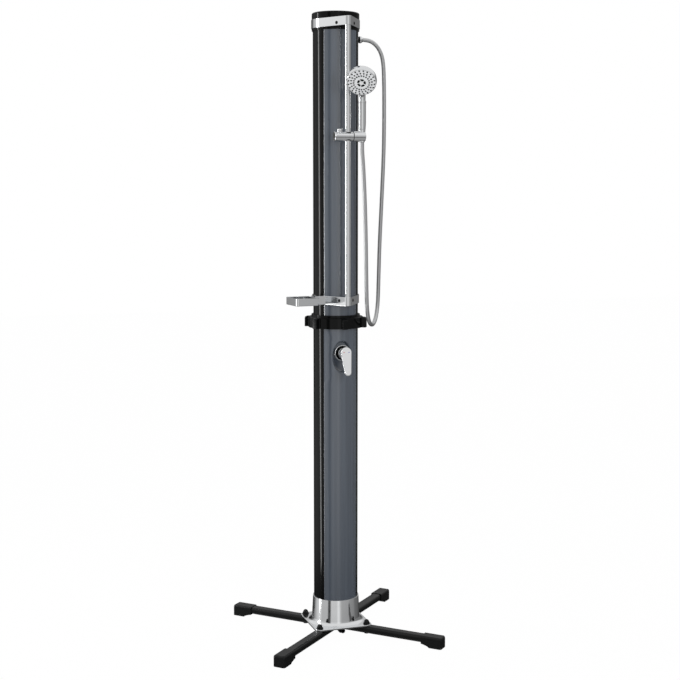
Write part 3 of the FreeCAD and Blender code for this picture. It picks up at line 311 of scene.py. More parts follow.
# %% [markdown]
# ## The hose's route
# The hose is the one cord of the object, and it comes first, because its length decides how it hangs.
# It leaves the wall outlet level, drops down the right side in a long plumb line, turns in one narrow
# loop beside the collar and rises in front of the slide bar to the nut of the hand shower. The points
# are listed along that way; a spline that only leans towards its points gives a soft line.

# %% Hose route
hose_radius = 7.0 * mm
hose_points = [
    (97, 0, 2090.3), (116, 0, 2090.3), (137, 0, 2082.5), (154.5, 0.5, 2067), (167.5, 0.5, 2044),
    (175, 1, 2011), (177.5, 1, 1948), (179, 2, 1833), (178, 2.5, 1703), (171.5, 3.5, 1548),
    (164.5, 4.5, 1395), (161.5, 5, 1278), (160, 5, 1210), (157, 4, 1162), (141, -20.5, 1122),
    (115, -60.5, 1106.5), (89, -100.5, 1122), (73.5, -124.5, 1162), (70.5, -126.5, 1215),
    (68.5, -127.5, 1313), (66, -129, 1433), (61, -131, 1563), (55, -133, 1663), (50.5, -134, 1707),
    (50.5, -134, 1737.3),
]


def spline_line(name, points, resolution):
    """The points of a smooth line that leans towards the given points, in metres."""
    curve = bpy.data.curves.new(name, "CURVE")
    curve.dimensions = "3D"
    curve.resolution_u = resolution
    spline = curve.splines.new("NURBS")
    spline.points.add(len(points) - 1)
    for spot, (x, y, z) in zip(spline.points, points):
        spot.co = (x * mm, y * mm, z * mm, 1.0)
    spline.order_u = 3
    spline.use_endpoint_u = True
    holder = bpy.data.objects.new(name, curve)
    bpy.context.scene.collection.objects.link(holder)
    graph = bpy.context.evaluated_depsgraph_get()
    mesh = bpy.data.meshes.new_from_object(holder.evaluated_get(graph))
    line = [vertex.co.copy() for vertex in mesh.vertices]
    bpy.data.objects.remove(holder)
    bpy.data.meshes.remove(mesh)
    return line


hose_line = spline_line("hose_route", hose_points, 24)
measured = sum((b - a).length for a, b in zip(hose_line, hose_line[1:]))
print("hose line has", len(hose_line), "points and is", round(measured, 3), "m long")

# %% [markdown]
# ## The hose's ribs
# A metal shower hose is a strip wound into a tube, so it has a fine round rib every few millimetres.
# A bump in the finish would vanish at the silhouette, so the ribs are real: rings are set along the
# line at even steps, and their radius swings a little with the distance travelled.

# %% Hose helpers
rib_pitch = 4.2 * mm
rib_depth = 0.45 * mm
rings_per_rib = 4
hose_sides = 20


def along(line, distance_step):
    """Places and headings at even distances on a line of points."""
    stations = []
    travelled = 0.0
    target = 0.0
    for a, b in zip(line, line[1:]):
        length = (b - a).length
        while target <= travelled + length:
            share = (target - travelled) / length
            stations.append((a.lerp(b, share), (b - a).normalized()))
            target += distance_step
        travelled += length
    stations.append((line[-1], (line[-1] - line[-2]).normalized()))
    return stations


def tube_rings(stations, radius_at, sides):
    """Rings round a path that don't twist. radius_at gives each ring's radius."""
    across = stations[0][1].orthogonal().normalized()
    rings = []
    for number, (place, heading) in enumerate(stations):
        across = (across - heading * across.dot(heading)).normalized()
        other = heading.cross(across)
        circle = circle_points(radius_at(number), sides)
        rings.append([place + across * x + other * y for x, y in circle])
    return rings


# %% Hose
def rib_radius(number):
    """The hose's radius at a ring: a round rib with a narrow valley."""
    swing = math.cos(2 * math.pi * number / rings_per_rib)
    return hose_radius - rib_depth * (0.5 - 0.5 * swing)


hose_stations = along(hose_line, rib_pitch / rings_per_rib)
hose = skin("shower_hose", tube_rings(hose_stations, rib_radius, hose_sides))
print("hose rings", len(hose_stations))

# %% [markdown]
# ## Nodes
# A material or a world is a net of nodes. A node has settings and sockets, and a socket holds a plain
# value or takes another node's output. One helper adds any node with all that it needs, and one makes
# a grey ramp from a list of stops.

# %% Node helpers
def add_node(tree, kind, sockets, **settings):
    """A node. Each socket gets a plain value, or the output that feeds it."""
    node = tree.nodes.new("ShaderNode" + kind)
    for setting, value in settings.items():
        setattr(node, setting, value)
    for socket, value in sockets.items():
        if isinstance(value, bpy.types.NodeSocket):
            tree.links.new(value, node.inputs[socket])
        else:
            node.inputs[socket].default_value = value
    return node


def grey_ramp(tree, feed, stops):
    """A ramp of greys. A stop is (place from 0 to 1, light)."""
    node = add_node(tree, "ValToRGB", {0: feed})
    ramp = node.color_ramp
    for place, _ in stops[1:-1]:
        ramp.elements.new(place)
    for stop, (place, light) in zip(ramp.elements, stops):
        stop.position = place
        stop.color = (light, light, light, 1.0)
    return node


# %% [markdown]
# ## Studio
# Chrome has no colour of its own: it shows the room. A room of cards would have to be built again for
# every view, so the room is light that depends on the direction alone. It is bright on the left and
# pale in front, with a narrow dark gap between, and dim at the right and behind. A dark line runs
# round it low down. To the camera the room is plain white.

# %% Studio values
# A wall is (degrees from the front, light). A level is (sine of the height above the horizon, light).
wall_lights = [
    (-180, 0.08), (-160, 0.08), (-150, 0.35), (-137, 0.52), (-113, 0.85), (-102, 0.94), (-88, 0.56),
    (-58, 0.54), (-54, 0.08), (-45, 0.10), (-40, 0.66), (-12, 0.66), (-8, 0.86), (-1, 0.86), (4, 0.60),
    (12, 0.42), (45, 0.40), (60, 0.32), (80, 0.30), (92, 0.20), (135, 0.18), (155, 0.12), (180, 0.08),
]
level_lights = [
    (-1.0, 0.85), (-0.60, 0.80), (-0.45, 0.60), (-0.40, 0.09), (-0.31, 0.09), (-0.27, 0.75),
    (-0.20, 1.0), (1.0, 1.0),
]
ceiling_light = 0.78
ceiling_start = 0.18
ceiling_full = 0.42
print("studio wall has", len(wall_lights), "stops")


# %% Studio world
def studio_world():
    """A world whose light depends on the direction round the column, and on the height."""
    world = bpy.data.worlds.new("studio")
    bpy.context.scene.world = world
    world.use_nodes = True
    tree = world.node_tree
    tree.nodes.clear()
    where = add_node(tree, "TexCoord", {})
    split = add_node(tree, "SeparateXYZ", {0: where.outputs["Generated"]})
    ahead = add_node(tree, "Math", {0: split.outputs["Y"], 1: -1.0}, operation="MULTIPLY")
    bearing = add_node(tree, "Math", {0: split.outputs["X"], 1: ahead.outputs[0]},
                       operation="ARCTAN2")
    turn = add_node(tree, "MapRange", {
        "Value": bearing.outputs[0], "From Min": -math.pi, "From Max": math.pi})
    walls = grey_ramp(tree, turn.outputs[0], [
        ((degrees + 180) / 360, light) for degrees, light in wall_lights])
    lift = add_node(tree, "MapRange", {"Value": split.outputs["Z"], "From Min": -1.0})
    levels = grey_ramp(tree, lift.outputs[0], [
        ((sine + 1) / 2, light) for sine, light in level_lights])
    shaded = add_node(tree, "Mix", {0: 1.0, 6: walls.outputs[0], 7: levels.outputs[0]},
                      data_type="RGBA", blend_type="MULTIPLY")
    height = add_node(tree, "MapRange", {
        "Value": split.outputs["Z"], "From Min": ceiling_start, "From Max": ceiling_full},
        interpolation_type="SMOOTHSTEP")
    ceiling = (ceiling_light, ceiling_light, ceiling_light, 1.0)
    closed = add_node(tree, "Mix", {0: height.outputs[0], 6: shaded.outputs[2], 7: ceiling},
                      data_type="RGBA")
    room = add_node(tree, "Background", {"Color": closed.outputs[2]})
    white = add_node(tree, "Background", {"Color": (1.0, 1.0, 1.0, 1.0)})
    ray = add_node(tree, "LightPath", {})
    chosen = add_node(tree, "MixShader", {
        0: ray.outputs["Is Camera Ray"], 1: room.outputs[0], 2: white.outputs[0]})
    add_node(tree, "OutputWorld", {"Surface": chosen.outputs[0]})
    return world


bpy.context.scene.view_settings.view_transform = "Standard"
print("world:", studio_world().name)

# %% [markdown]
# ## Lamps
# A soft room alone leaves the black gloss flat. One tall strip lamp at the left is slanted a little and
# draws the thin bright line down the black side of the column. A second lamp in front gives the dull
# pieces their light. It stays out of reflections, since the chrome would show it as a white patch.

# %% Lamps
def strip_lamp(name, foot, head, width, power):
    """A tall lamp from foot to head that faces the column. An end is (bearing, distance, height)."""
    ends = []
    for bearing, distance, height in (foot, head):
        angle = math.radians(bearing)
        ends.append(Vector((distance * math.sin(angle), -distance * math.cos(angle), height)))
    data = bpy.data.lights.new(name, "AREA")
    data.shape = "RECTANGLE"
    data.size = width
    data.size_y = (ends[1] - ends[0]).length
    data.energy = power
    light = bpy.data.objects.new(name, data)
    middle = (ends[0] + ends[1]) / 2
    upright = (ends[1] - ends[0]).normalized()
    back = Vector((middle.x, middle.y, 0.0))
    back = (back - upright * back.dot(upright)).normalized()
    turn = Matrix((upright.cross(back), upright, back)).transposed().to_4x4()
    light.matrix_world = Matrix.Translation(middle) @ turn
    light.visible_camera = False
    bpy.context.scene.collection.objects.link(light)
    return light


left_lamp = strip_lamp("left_strip", (-99.5, 2.6, -0.5), (-115, 2.6, 2.9), 0.28, 32.0)
front_lamp = strip_lamp("front_key", (9, 3.0, 1.5), (9, 3.0, 2.7), 0.4, 30.0)
front_lamp.visible_glossy = False
print("lamps:", left_lamp.name, front_lamp.name)

# %% [markdown]
# ## Floor
# The post stands on a wide pale floor. A plain white one would turn grey in the render, so the camera
# sees mostly a white glow and only a trace of the real surface, which keeps a faint shadow at the feet.

# %% Floor
floor_reach = 12.0
floor_glow = 0.985


def floor_finish():
    """A pale floor that the camera sees as nearly white, with a trace of shadow."""
    material = bpy.data.materials.new("floor_white")
    material.use_nodes = True
    tree = material.node_tree
    base = tree.nodes["Principled BSDF"]
    base.inputs["Base Color"].default_value = (0.90, 0.90, 0.90, 1.0)
    base.inputs["Roughness"].default_value = 0.9
    glow = add_node(tree, "Emission", {})
    ray = add_node(tree, "LightPath", {})
    amount = add_node(tree, "Math", {0: ray.outputs["Is Camera Ray"], 1: floor_glow},
                      operation="MULTIPLY")
    mix = add_node(tree, "MixShader", {
        0: amount.outputs[0], 1: base.outputs[0], 2: glow.outputs[0]})
    tree.links.new(mix.outputs[0], tree.nodes["Material Output"].inputs["Surface"])
    return material


corners = [(x * floor_reach, y * floor_reach, 0) for x, y in ((-1, -1), (1, -1), (1, 1), (-1, 1))]
floor = new_piece("floor", corners, [(0, 1, 2, 3)])
floor.data.materials.append(floor_finish())
floor.visible_glossy = False
print("floor is", 2 * floor_reach, "m wide")

# %% [markdown]
# ## Finishes
# Each finish starts from one shader. What is the same all over is set on the shader itself. What
# changes over the surface comes from noise in the piece's own space: a fine bump, a drift of
# roughness where hands and water have been, and a slight drift of colour.

# %% Finish helpers
def new_finish(slot, color, metallic, roughness, specular=0.5):
    """A material for one slot of the record."""
    material = bpy.data.materials.new(slot)
    material.use_nodes = True
    shader = material.node_tree.nodes["Principled BSDF"]
    shader.inputs["Base Color"].default_value = (*color, 1.0)
    shader.inputs["Metallic"].default_value = metallic
    shader.inputs["Roughness"].default_value = roughness
    shader.inputs["Specular IOR Level"].default_value = specular
    finishes[slot] = material
    return material


def noise_in(tree, scale, stretch=1.0):
    """Noise in the piece's own space, in waves per metre. A low stretch draws it out upward."""
    where = add_node(tree, "TexCoord", {})
    scaling = add_node(tree, "Mapping", {
        "Vector": where.outputs["Object"], "Scale": (1.0, 1.0, stretch)})
    noise = add_node(tree, "TexNoise", {
        "Vector": scaling.outputs["Vector"], "Scale": scale, "Detail": 3.0})
    return noise.outputs["Fac"]


print("finish helper ready for", len(set(slot_of.values())), "slots")


# %% Surface helpers
def add_grain(material, scale, height):
    """A fine bump, its height in metres."""
    tree = material.node_tree
    bump = add_node(tree, "Bump", {"Distance": height, "Height": noise_in(tree, scale)})
    tree.links.new(bump.outputs["Normal"], tree.nodes["Principled BSDF"].inputs["Normal"])


def drift(material, low, high, scale, stretch=1.0):
    """Let the roughness wander between two values."""
    tree = material.node_tree
    spread = add_node(tree, "MapRange", {
        "Value": noise_in(tree, scale, stretch), "From Min": 0.3, "From Max": 0.7,
        "To Min": low, "To Max": high})
    tree.links.new(spread.outputs[0], tree.nodes["Principled BSDF"].inputs["Roughness"])


def tint(material, dark, light, scale, stretch=1.0):
    """Let the colour wander between two shades."""
    tree = material.node_tree
    shades = add_node(tree, "ValToRGB", {0: noise_in(tree, scale, stretch)})
    for stop, place, shade in zip(shades.color_ramp.elements, (0.35, 0.65), (dark, light)):
        stop.position = place
        stop.color = (*shade, 1.0)
    tree.links.new(shades.outputs[0], tree.nodes["Principled BSDF"].inputs["Base Color"])


# %% [markdown]
# ## Metal finishes
# The brackets, the bar and the base are polished metal with a thin chrome layer. The slider, the holder,
# the handset and the dish are plastic with the same layer, which follows the moulding's slight waves.
# The hose's strip is duller, since its ribs scatter the light.

# %% Metal finishes
def metals():
    """Polished chrome, chrome on plastic, brass, the hose's strip and spring steel."""
    drift(new_finish("chrome", (0.84, 0.85, 0.86), 1.0, 0.07), 0.05, 0.12, 35.0)
    plated = new_finish("chromed_plastic", (0.84, 0.85, 0.86), 1.0, 0.10)
    drift(plated, 0.07, 0.15, 45.0)
    add_grain(plated, 60.0, 0.00002)
    drift(new_finish("brass", (0.62, 0.43, 0.16), 1.0, 0.3), 0.25, 0.4, 60.0)
    drift(new_finish("steel_hose", (0.66, 0.665, 0.67), 1.0, 0.42), 0.36, 0.48, 60.0)
    drift(new_finish("spring_steel", (0.55, 0.55, 0.56), 1.0, 0.25), 0.2, 0.32, 200.0)


metals()
print("metal finishes:", sorted(finishes))

# %% [markdown]
# ## Plastic and paint finishes
# The column is gloss black plastic. Its front is a blue-grey panel under a clear coat. Its roughness runs
# in long upright streaks, and its colour runs in long upright streaks of painted reflection. The cross
# tubes have a fine powder coat, and feet, nuts and rubber are duller still.

# %% Plastic and paint finishes
def plastics():
    """Gloss black, the grey panel, black plastic, rubber, powder coat and the spray face."""
    gloss = new_finish("black_gloss", (0.0018, 0.002, 0.002), 0.0, 0.09, 0.18)
    drift(gloss, 0.08, 0.10, 8.0, 0.2)
    panel = new_finish("grey_panel", (0.07, 0.08, 0.095), 0.0, 0.2, 1.0)
    shader = panel.node_tree.nodes["Principled BSDF"]
    shader.inputs["Coat Weight"].default_value = 1.0
    shader.inputs["Coat Roughness"].default_value = 0.16
    # Painted reflection: the panel's colour wanders in long upright streaks of lighter and darker
    # blue-grey.
    tint(panel, (0.048, 0.060, 0.080), (0.066, 0.082, 0.106), 60.0, 0.02)
    drift(panel, 0.20, 0.28, 30.0, 0.05)
    add_grain(new_finish("black_plastic", (0.003, 0.0035, 0.0035), 0.0, 0.34, 0.26), 900.0, 0.00008)
    add_grain(new_finish("black_rubber", (0.004, 0.004, 0.004), 0.0, 0.65, 0.15), 1200.0, 0.00006)
    coat = new_finish("black_steel", (0.003, 0.0035, 0.0035), 0.0, 0.30, 0.28)
    add_grain(coat, 700.0, 0.00010)
    drift(coat, 0.26, 0.36, 25.0)
    face = new_finish("grey_face", (0.66, 0.67, 0.68), 0.0, 0.25)
    tint(face, (0.62, 0.63, 0.64), (0.70, 0.71, 0.72), 60.0)
    new_finish("red_mark", (0.5, 0.02, 0.02), 0.0, 0.25)
    new_finish("blue_mark", (0.02, 0.06, 0.4), 0.0, 0.25)


plastics()
print("all finishes:", len(finishes))

# %% [markdown]
# ## Finish the solids
# The solids that no new piece stands for keep their own mesh, such as the bolts, the pipes and the
# gaskets. They only need the finish of their slot. The hose was made above, before there were
# finishes, so it gets its own now.

# %% Finish the solids
def finish_solids():
    """Give every CAD solid the finish of its slot."""
    for name, node in frame["nodes"].items():
        slots = node.data.materials
        finish = finishes[slot_of[name]]
        if len(slots) == 0:
            slots.append(finish)
        for index in range(len(slots)):
            slots[index] = finish


finish_solids()
dress(hose, "hose")

# %% [markdown]
# ## Cross foot
# The foot is one long flat tube with two half tubes butted against it. Each tube is a rounded
# rectangle with a wall, drawn out along its spoke. Rings of the outer and of the inner outline make
# the wall in one skin, so nothing has to be hollowed out.

# %% Cross tubes
ground_gap = 13.0
tube_half = 19.0
tube_top = 38.0
tube_wall = 2.0
tube_round = 9.0
foot_end = 418.0
tube_end = foot_end - 9.0


def section(half, low, high, top_radius, low_radius):
    """A rounded rectangle across a spoke, as (across, height) points in mm."""
    return box_outline((-half, low), (half, high), low_radius, 8, top_radius)


def spoke_skin(name, stations, degrees, ends):
    """A skin along a spoke of the cross. A station is (distance, section)."""
    rings = []
    for distance, outline in stations:
        ring = [Vector((distance, across, height)) * mm for across, height in outline]
        rings.append(swung(ring, degrees))
    return skin(name, rings, ends)


def cross_tube(name, start, degrees):
    """One flat tube with its wall, from a start to the end foot."""
    inner_round = tube_round - tube_wall
    outer = section(tube_half, ground_gap, tube_top, tube_round, tube_round)
    inner = section(tube_half - tube_wall, ground_gap + tube_wall, tube_top - tube_wall,
                    inner_round, inner_round)
    stations = [(start, outer), (tube_end, outer), (tube_end, inner), (start, inner)]
    return spoke_skin(name, stations, degrees, "joined")


tube_rows = (("long", -tube_end, 45), ("left", tube_half, 135), ("right", tube_half, -45))
for side, start, degrees in tube_rows:
    dress(cross_tube("tube_" + side, start, degrees), "cross_bar_" + side)

# %% [markdown]
# ## End feet
# A moulded foot slips over each tube end. Its section grows down to a pad and its outer end closes
# with a round. The rings run from the pocket back over the sleeve and out to the end, in one skin.

# %% End feet
foot_half = 22.3
foot_top = 40.0
foot_round = 7.0
foot_lip = 1.0
sleeve_end = foot_end - 76.0
under_side = [(-75, 11.0), (-67, 9.5), (-52, 5.0), (-46, 0.6), (-45, 0.0), (-foot_round, 0.0)]


def end_foot(name, degrees):
    """A moulded foot over a tube's end, with a pad that stands on the ground."""
    pocket = section(tube_half, ground_gap, tube_top, 0.4, 0.4)
    lip = section(foot_half - foot_lip, 11 + foot_lip, foot_top - foot_lip, foot_round - foot_lip, 1.0)
    stations = [(tube_end, pocket), (sleeve_end, pocket), (sleeve_end, lip)]
    for distance, low in under_side:
        outline = section(foot_half, low, foot_top, foot_round, 0.8)
        stations.append((foot_end + distance, outline))
    for inset, left in quarter(foot_round, 8)[1:]:
        outline = section(foot_half - inset, 0.0, foot_top - inset, foot_round, 0.8)
        stations.append((foot_end - left, outline))
    return spoke_skin(name, stations, degrees, "caps")


for number in range(4):
    dress(end_foot("foot_" + str(number + 1), 45 + 90 * number), "end_foot_" + str(number + 1))

# %% [markdown]
# ## Base flange
# The chromed socket grows out of a rounded square plate through a hollow flare. Both are one skin: the
# rings are circles in the socket and turn into the plate's outline at the flare's foot.

# %% Flange rings
plate_low = 38.0
plate_high = 43.0
plate_half = 105.0
plate_round = 22.0
flange_steps = 288


def circle(radius, height):
    """A level ring round the column's axis."""
    return level(circle_points(radius, flange_steps), height)


def plate_ring(inset, height):
    """The plate's outline as a ring with the same directions as the circles."""
    half = plate_half - inset
    corner = plate_round - inset
    ring = []
    for c, s in circle_points(1.0, flange_steps):
        wide, narrow = max(abs(c), abs(s)), min(abs(c), abs(s))
        reach = half / wide
        if narrow * reach > half - corner:
            toward = (half - corner) * (wide + narrow)
            reach = toward + math.sqrt(toward ** 2 - 2 * (half - corner) ** 2 + corner ** 2)
        ring.append((reach * c, reach * s))
    return level(ring, height)


print("plate ring points:", len(plate_ring(0.0, plate_low)))

# %% Base flange
bolt_reach = 87.0
bolt_places = [(x, y) for x in (-bolt_reach, bolt_reach) for y in (-bolt_reach, bolt_reach)]
flare = 15.0
socket_foot = 85.2
socket_profile = [
    (78.2, plate_high), (78.2, 133.9), (78.5, 134.4), (79.2, 134.5), (80.6, 134.5), (81.3, 134.2),
    (81.55, 133.4), (socket_foot, plate_high + flare)]
plate_profile = [
    (1.2, plate_high), (0.6, 42.85), (0.16, 42.4), (0.0, 41.8), (0.0, 38.6), (0.2, 38.2),
    (0.6, plate_low)]


def base_flange():
    """Plate and socket in one skin, with the holes for the bolts and the inlet."""
    rings = [circle(radius, height) for radius, height in socket_profile]
    rings += [circle(socket_foot + out, plate_high + left) for out, left in quarter(flare, 10)[1:]]
    rings += [plate_ring(inset, height) for inset, height in plate_profile]
    flange = skin("foot_flange", rings)
    for x, y in bolt_places:
        bored(flange, 4.3, (x, y, 30), 20, steps=32)
    return bored(flange, 9.3, (0, -42, 30), 20, steps=48)


dress(base_flange(), "base_flange")

# %% [markdown]
# ## Dome nuts
# Each bolt ends in a nut with a flange, six flats and a dome. One ring runs up the nut, and between
# the flange and the dome the flats cut off whatever of the ring reaches too far.

# %% Dome nuts
flat_reach = 9.5
dome_radius = 9.0
dome_low = 50.5
nut_profile = [
    (12.2, 43.0, False), (12.5, 43.3, False), (12.4, 44.6, False), (11.4, 45.4, False),
    (10.9, 45.5, False), (10.8, 45.7, True), (10.8, 49.6, True), (9.7, dome_low, True)]


def nut_ring(place, radius, height, six_sided=False):
    """A level ring round a place, which the six flats may cut off."""
    ring = []
    for step in range(48):
        angle = 2 * math.pi * step / 48
        flat = flat_reach / math.cos((angle + math.pi / 6) % (math.pi / 3) - math.pi / 6)
        reach = min(radius, flat) if six_sided else radius
        ring.append((place[0] + reach * math.cos(angle), place[1] + reach * math.sin(angle)))
    return level(ring, height)


def dome_nut(place):
    """The rings of one nut."""
    rings = [nut_ring(place, *row) for row in nut_profile]
    for inset, left in quarter(dome_radius, 9):
        rings.append(nut_ring(place, dome_radius - inset, dome_low + dome_radius - left))
    return rings


dress(smooth(skins("nuts", [dome_nut(place) for place in bolt_places]), 28.0), "dome_nuts")

# %% [markdown]
# ## Column
# Each tube is a ring in plan whose front is set back for its panel, so its outline has a step at both
# sides. The two outlines, outer and inner, are drawn up from the tube's foot to its head.

# %% Tank shells
column_radius = 78.0
setback_radius = 75.3
inner_radius = 73.0
panel_half_angle = 50.0
panel_gap = 0.15
lower_span = (43.0, 1115.3)
upper_span = (1121.3, 2138.3)
recess_z = 1003.0


def arc_points(radius, start, end, steps):
    """Points on a circle round the column, between two bearings from the front."""
    points = []
    for step in range(steps + 1):
        angle = math.radians(start + (end - start) * step / steps)
        points.append(Vector((radius * math.sin(angle), -radius * math.cos(angle))))
    return points


def tank_shell(name, low, high):
    """A tube whose front is set back."""
    side = panel_half_angle + panel_gap
    outer, inner = [arc_points(back, side, 360 - side, 180) + arc_points(front, -side, side, 72)
                    for back, front in ((column_radius, setback_radius), (inner_radius, inner_radius))]
    rings = [level(outer, low), level(outer, high), level(inner, high), level(inner, low)]
    return skin(name, rings, "joined")


def recess_hole():
    """The oval opening behind the recess."""
    return skin("recess_hole", [
        [Vector((39.1 * x, depth, recess_z + 58.7 * z)) * mm for x, z in circle_points(1.0, 96)]
        for depth in (-100, -45)])


dress(tank_shell("upper_tube", *upper_span), "upper_tank_shell")
lower_tube = combined(tank_shell("lower_tube", *lower_span), recess_hole(), "DIFFERENCE")
dress(lower_tube, "lower_tank_shell")

# %% [markdown]
# ## Front panels
# A panel is a curved strip that lies in the tube's step with a hair of a gap. Its face falls away a
# little towards both long edges, and the edges are rounded by a bevel. That fall and that round draw
# the fine line between the black tube and the grey front.

# %% Upper front panel
fall_start = 44.0
edge_fall = 1.4
edge_round = 0.7 * mm


def panel_radius(bearing):
    """The panel's outer radius, which falls away a little at both long edges."""
    past = max(abs(bearing) - fall_start, 0.0) / (panel_half_angle - fall_start)
    return column_radius - edge_fall * past ** 2


def upper_panel():
    """A curved strip with round edges."""
    outline = []
    for step in range(101):
        bearing = panel_half_angle * (step / 50 - 1)
        outline += arc_points(panel_radius(bearing), bearing, bearing, 1)[:1]
    outline += arc_points(75.5, panel_half_angle, -panel_half_angle, 100)
    return bevelled(slab("panel_upper", outline, *upper_span), edge_round, 60.0)


dress(upper_panel(), "upper_front_panel")

# %% [markdown]
# ## Recess of the mixer
# The lower panel has an oval dish moulded into it. Rings run from the valve's hole over the floor, up
# the tapered wall, over a soft rim and out to a rectangle. Cutting the dish would leave a hard rim,
# and this way the wall flows into the face.

# %% Recess wall
valve_z = 1016.8
valve_hole = 20.2
floor_depth = 62.0
floor_half = (30.4, 50.0)
mouth_half = (36.4, 56.0)
wall_slope = 0.375


def on_column(x, z):
    """The point of the panel's front at this place, in mm."""
    bearing = math.degrees(math.asin(x / column_radius))
    radius = panel_radius(bearing)
    return Vector((x, -math.sqrt(column_radius ** 2 - x * x) + column_radius - radius, z))


def wall_point(direction, depth):
    """A point of the recess's wall: the oval widens from the floor to the front."""
    grow = (depth - floor_depth) * wall_slope
    x = (floor_half[0] + grow) * math.cos(direction)
    return Vector((x, -depth, recess_z + (floor_half[1] + grow) * math.sin(direction)))


def wall_top(direction):
    """The depth at which the wall meets the column's surface."""
    depth = 70.0
    for _ in range(20):
        depth = math.sqrt(column_radius ** 2 - wall_point(direction, depth).x ** 2)
    return depth


print("wall meets the front at a depth of", round(wall_top(0.0), 2), "mm beside the valve")

# %% Recess spokes
rim_below = 3.2
rim_beyond = 3.4


def bent(a, b, c, share):
    """A point on the soft curve from a to c that heads for b."""
    return a.lerp(b, share).lerp(b.lerp(c, share), share)


def recess_spoke(bearing, height):
    """The points of one spoke, from the valve's hole out to the rectangle's edge."""
    x_end = column_radius * math.sin(math.radians(bearing))
    direction = math.atan2(height / mouth_half[1], x_end / mouth_half[0])
    hole = Vector((valve_hole * math.cos(direction), -floor_depth,
                   valve_z + valve_hole * math.sin(direction)))
    corner = wall_point(direction, floor_depth)
    flat = hole.lerp(corner, 0.86)
    up_wall = wall_point(direction, floor_depth + 3)
    points = [hole, hole.lerp(corner, 0.3), hole.lerp(corner, 0.62), flat]
    points += [bent(flat, corner, up_wall, share) for share in (0.2, 0.4, 0.6, 0.8, 1.0)]
    top = wall_top(direction)
    rim = wall_point(direction, top)
    below_rim = wall_point(direction, max(top - rim_below, floor_depth + 3.4))
    out = Vector((rim.x, 0, rim.z - recess_z)).normalized() * rim_beyond
    beyond = on_column(rim.x + out.x, rim.z + out.z)
    points.append(up_wall.lerp(below_rim, 0.5))
    points += [bent(below_rim, rim, beyond, share) for share in (0.0, 0.17, 0.33, 0.5, 0.67, 0.83, 1.0)]
    for share in (0.12, 0.32, 0.62, 1.0):
        x = beyond.x + (x_end - beyond.x) * share
        z = beyond.z + (recess_z + height - beyond.z) * share
        points.append(on_column(x, z))
    return points


print("points of a spoke:", len(recess_spoke(0.0, 90.0)))

# %% [markdown]
# ## Lower front panel
# The recess lies in a rectangular patch of the panel. Above and below the patch its columns of points
# go on plainly to the panel's ends. A solidify modifier then gives the surface its wall.

# %% Lower front panel
patch_half = 92.0
across = 48
upward = 40


def patch_edge():
    """Points round the patch, as (bearing in degrees, height from the recess's centre)."""
    edge = []
    for sign in (1, -1):
        for step in range(across):
            edge.append((sign * panel_half_angle * (1 - 2 * step / across), sign * patch_half))
        for step in range(upward):
            edge.append((-sign * panel_half_angle, sign * patch_half * (1 - 2 * step / upward)))
    return edge


def lower_panel():
    """The panel with its recess: one surface that gets a wall and round edges."""
    spokes = [recess_spoke(bearing, height) for bearing, height in patch_edge()]
    count = len(spokes[0])
    points = [point * mm for spoke in spokes for point in spoke]
    faces = []
    for index in range(len(spokes)):
        a = index * count
        b = (index + 1) % len(spokes) * count
        for step in range(count - 1):
            faces.append((a + step, a + step + 1, b + step + 1, b + step))
    for first, start, goal in ((0, recess_z + patch_half, lower_span[1]),
                               (across + upward, recess_z - patch_half, lower_span[0])):
        row = [(first + step) * count + count - 1 for step in range(across + 1)]
        for share in (0.5, 1.0):
            fresh = list(range(len(points), len(points) + across + 1))
            for index in row:
                place = points[index].copy()
                place.z = (start + (goal - start) * share) * mm
                points.append(place)
            for step in range(across):
                faces.append((row[step], row[step + 1], fresh[step + 1], fresh[step]))
            row = fresh
    panel = new_piece("panel_lower", points, faces)
    wall = panel.modifiers.new("wall", "SOLIDIFY")
    wall.thickness = 2.5 * mm
    wall.offset = -1.0
    return bevelled(applied(panel), edge_round, 60.0)


dress(lower_panel(), "lower_front_panel")

# %% [markdown]
# ## Collar
# The collar is a lathe form whose outline in plan has six square lobes with soft corners. Each level
# takes the same outline and limits how far it may reach, which rounds the lobes at their top.

# %% Collar rings
collar_low = 1100.8
collar_radius = 95.0
lobe_reach = 110.0
lobe_half = 9.5
lobe_side = 5.74


def collar_outline():
    """The collar in plan, from the first lobe on, in mm."""
    corners = []
    base = math.sqrt(collar_radius ** 2 - lobe_half ** 2)
    lobe = [(base, -lobe_half, 2.5), (lobe_reach, -lobe_half, 3.0), (lobe_reach, lobe_half, 3.0),
            (base, lobe_half, 2.5)]
    for number in range(6):
        middle = 60 * number - 90
        turn = Matrix.Rotation(math.radians(middle), 2)
        corners += [(*(turn @ Vector((x, y))), radius) for x, y, radius in lobe]
        for step in range(1, 16):
            angle = math.radians(middle + lobe_side + (60 - 2 * lobe_side) * step / 16)
            corners.append((collar_radius * math.cos(angle), collar_radius * math.sin(angle), 0))
    return eased(corners, 5)


def collar_ring(outline, limit, height, inset=0.0):
    """The outline at one height above the collar's foot, pulled in to a limit."""
    ring = [point.normalized() * min(point.length - inset, limit) for point in outline]
    return level(ring, collar_low + height)


print("collar outline points:", len(collar_outline()))

# %% Union collar
lobe_top = 36.5
lobe_round = 8.0
no_limit = 200.0
foot_rows = [(78.3, 0.0), (no_limit, 0.0, 1.2), (no_limit, 0.4, 0.4), (no_limit, 1.2)]
head_rows = [
    (95.6, lobe_top), (94.8, 36.9), (94.2, 37.2), (93.0, 37.5), (86.0, 37.5), (85.2, 37.8), (85.0, 38.6),
    (85.0, 45.0), (84.6, 45.8), (83.6, 46.0), (78.9, 46.0), (78.3, 45.6)]


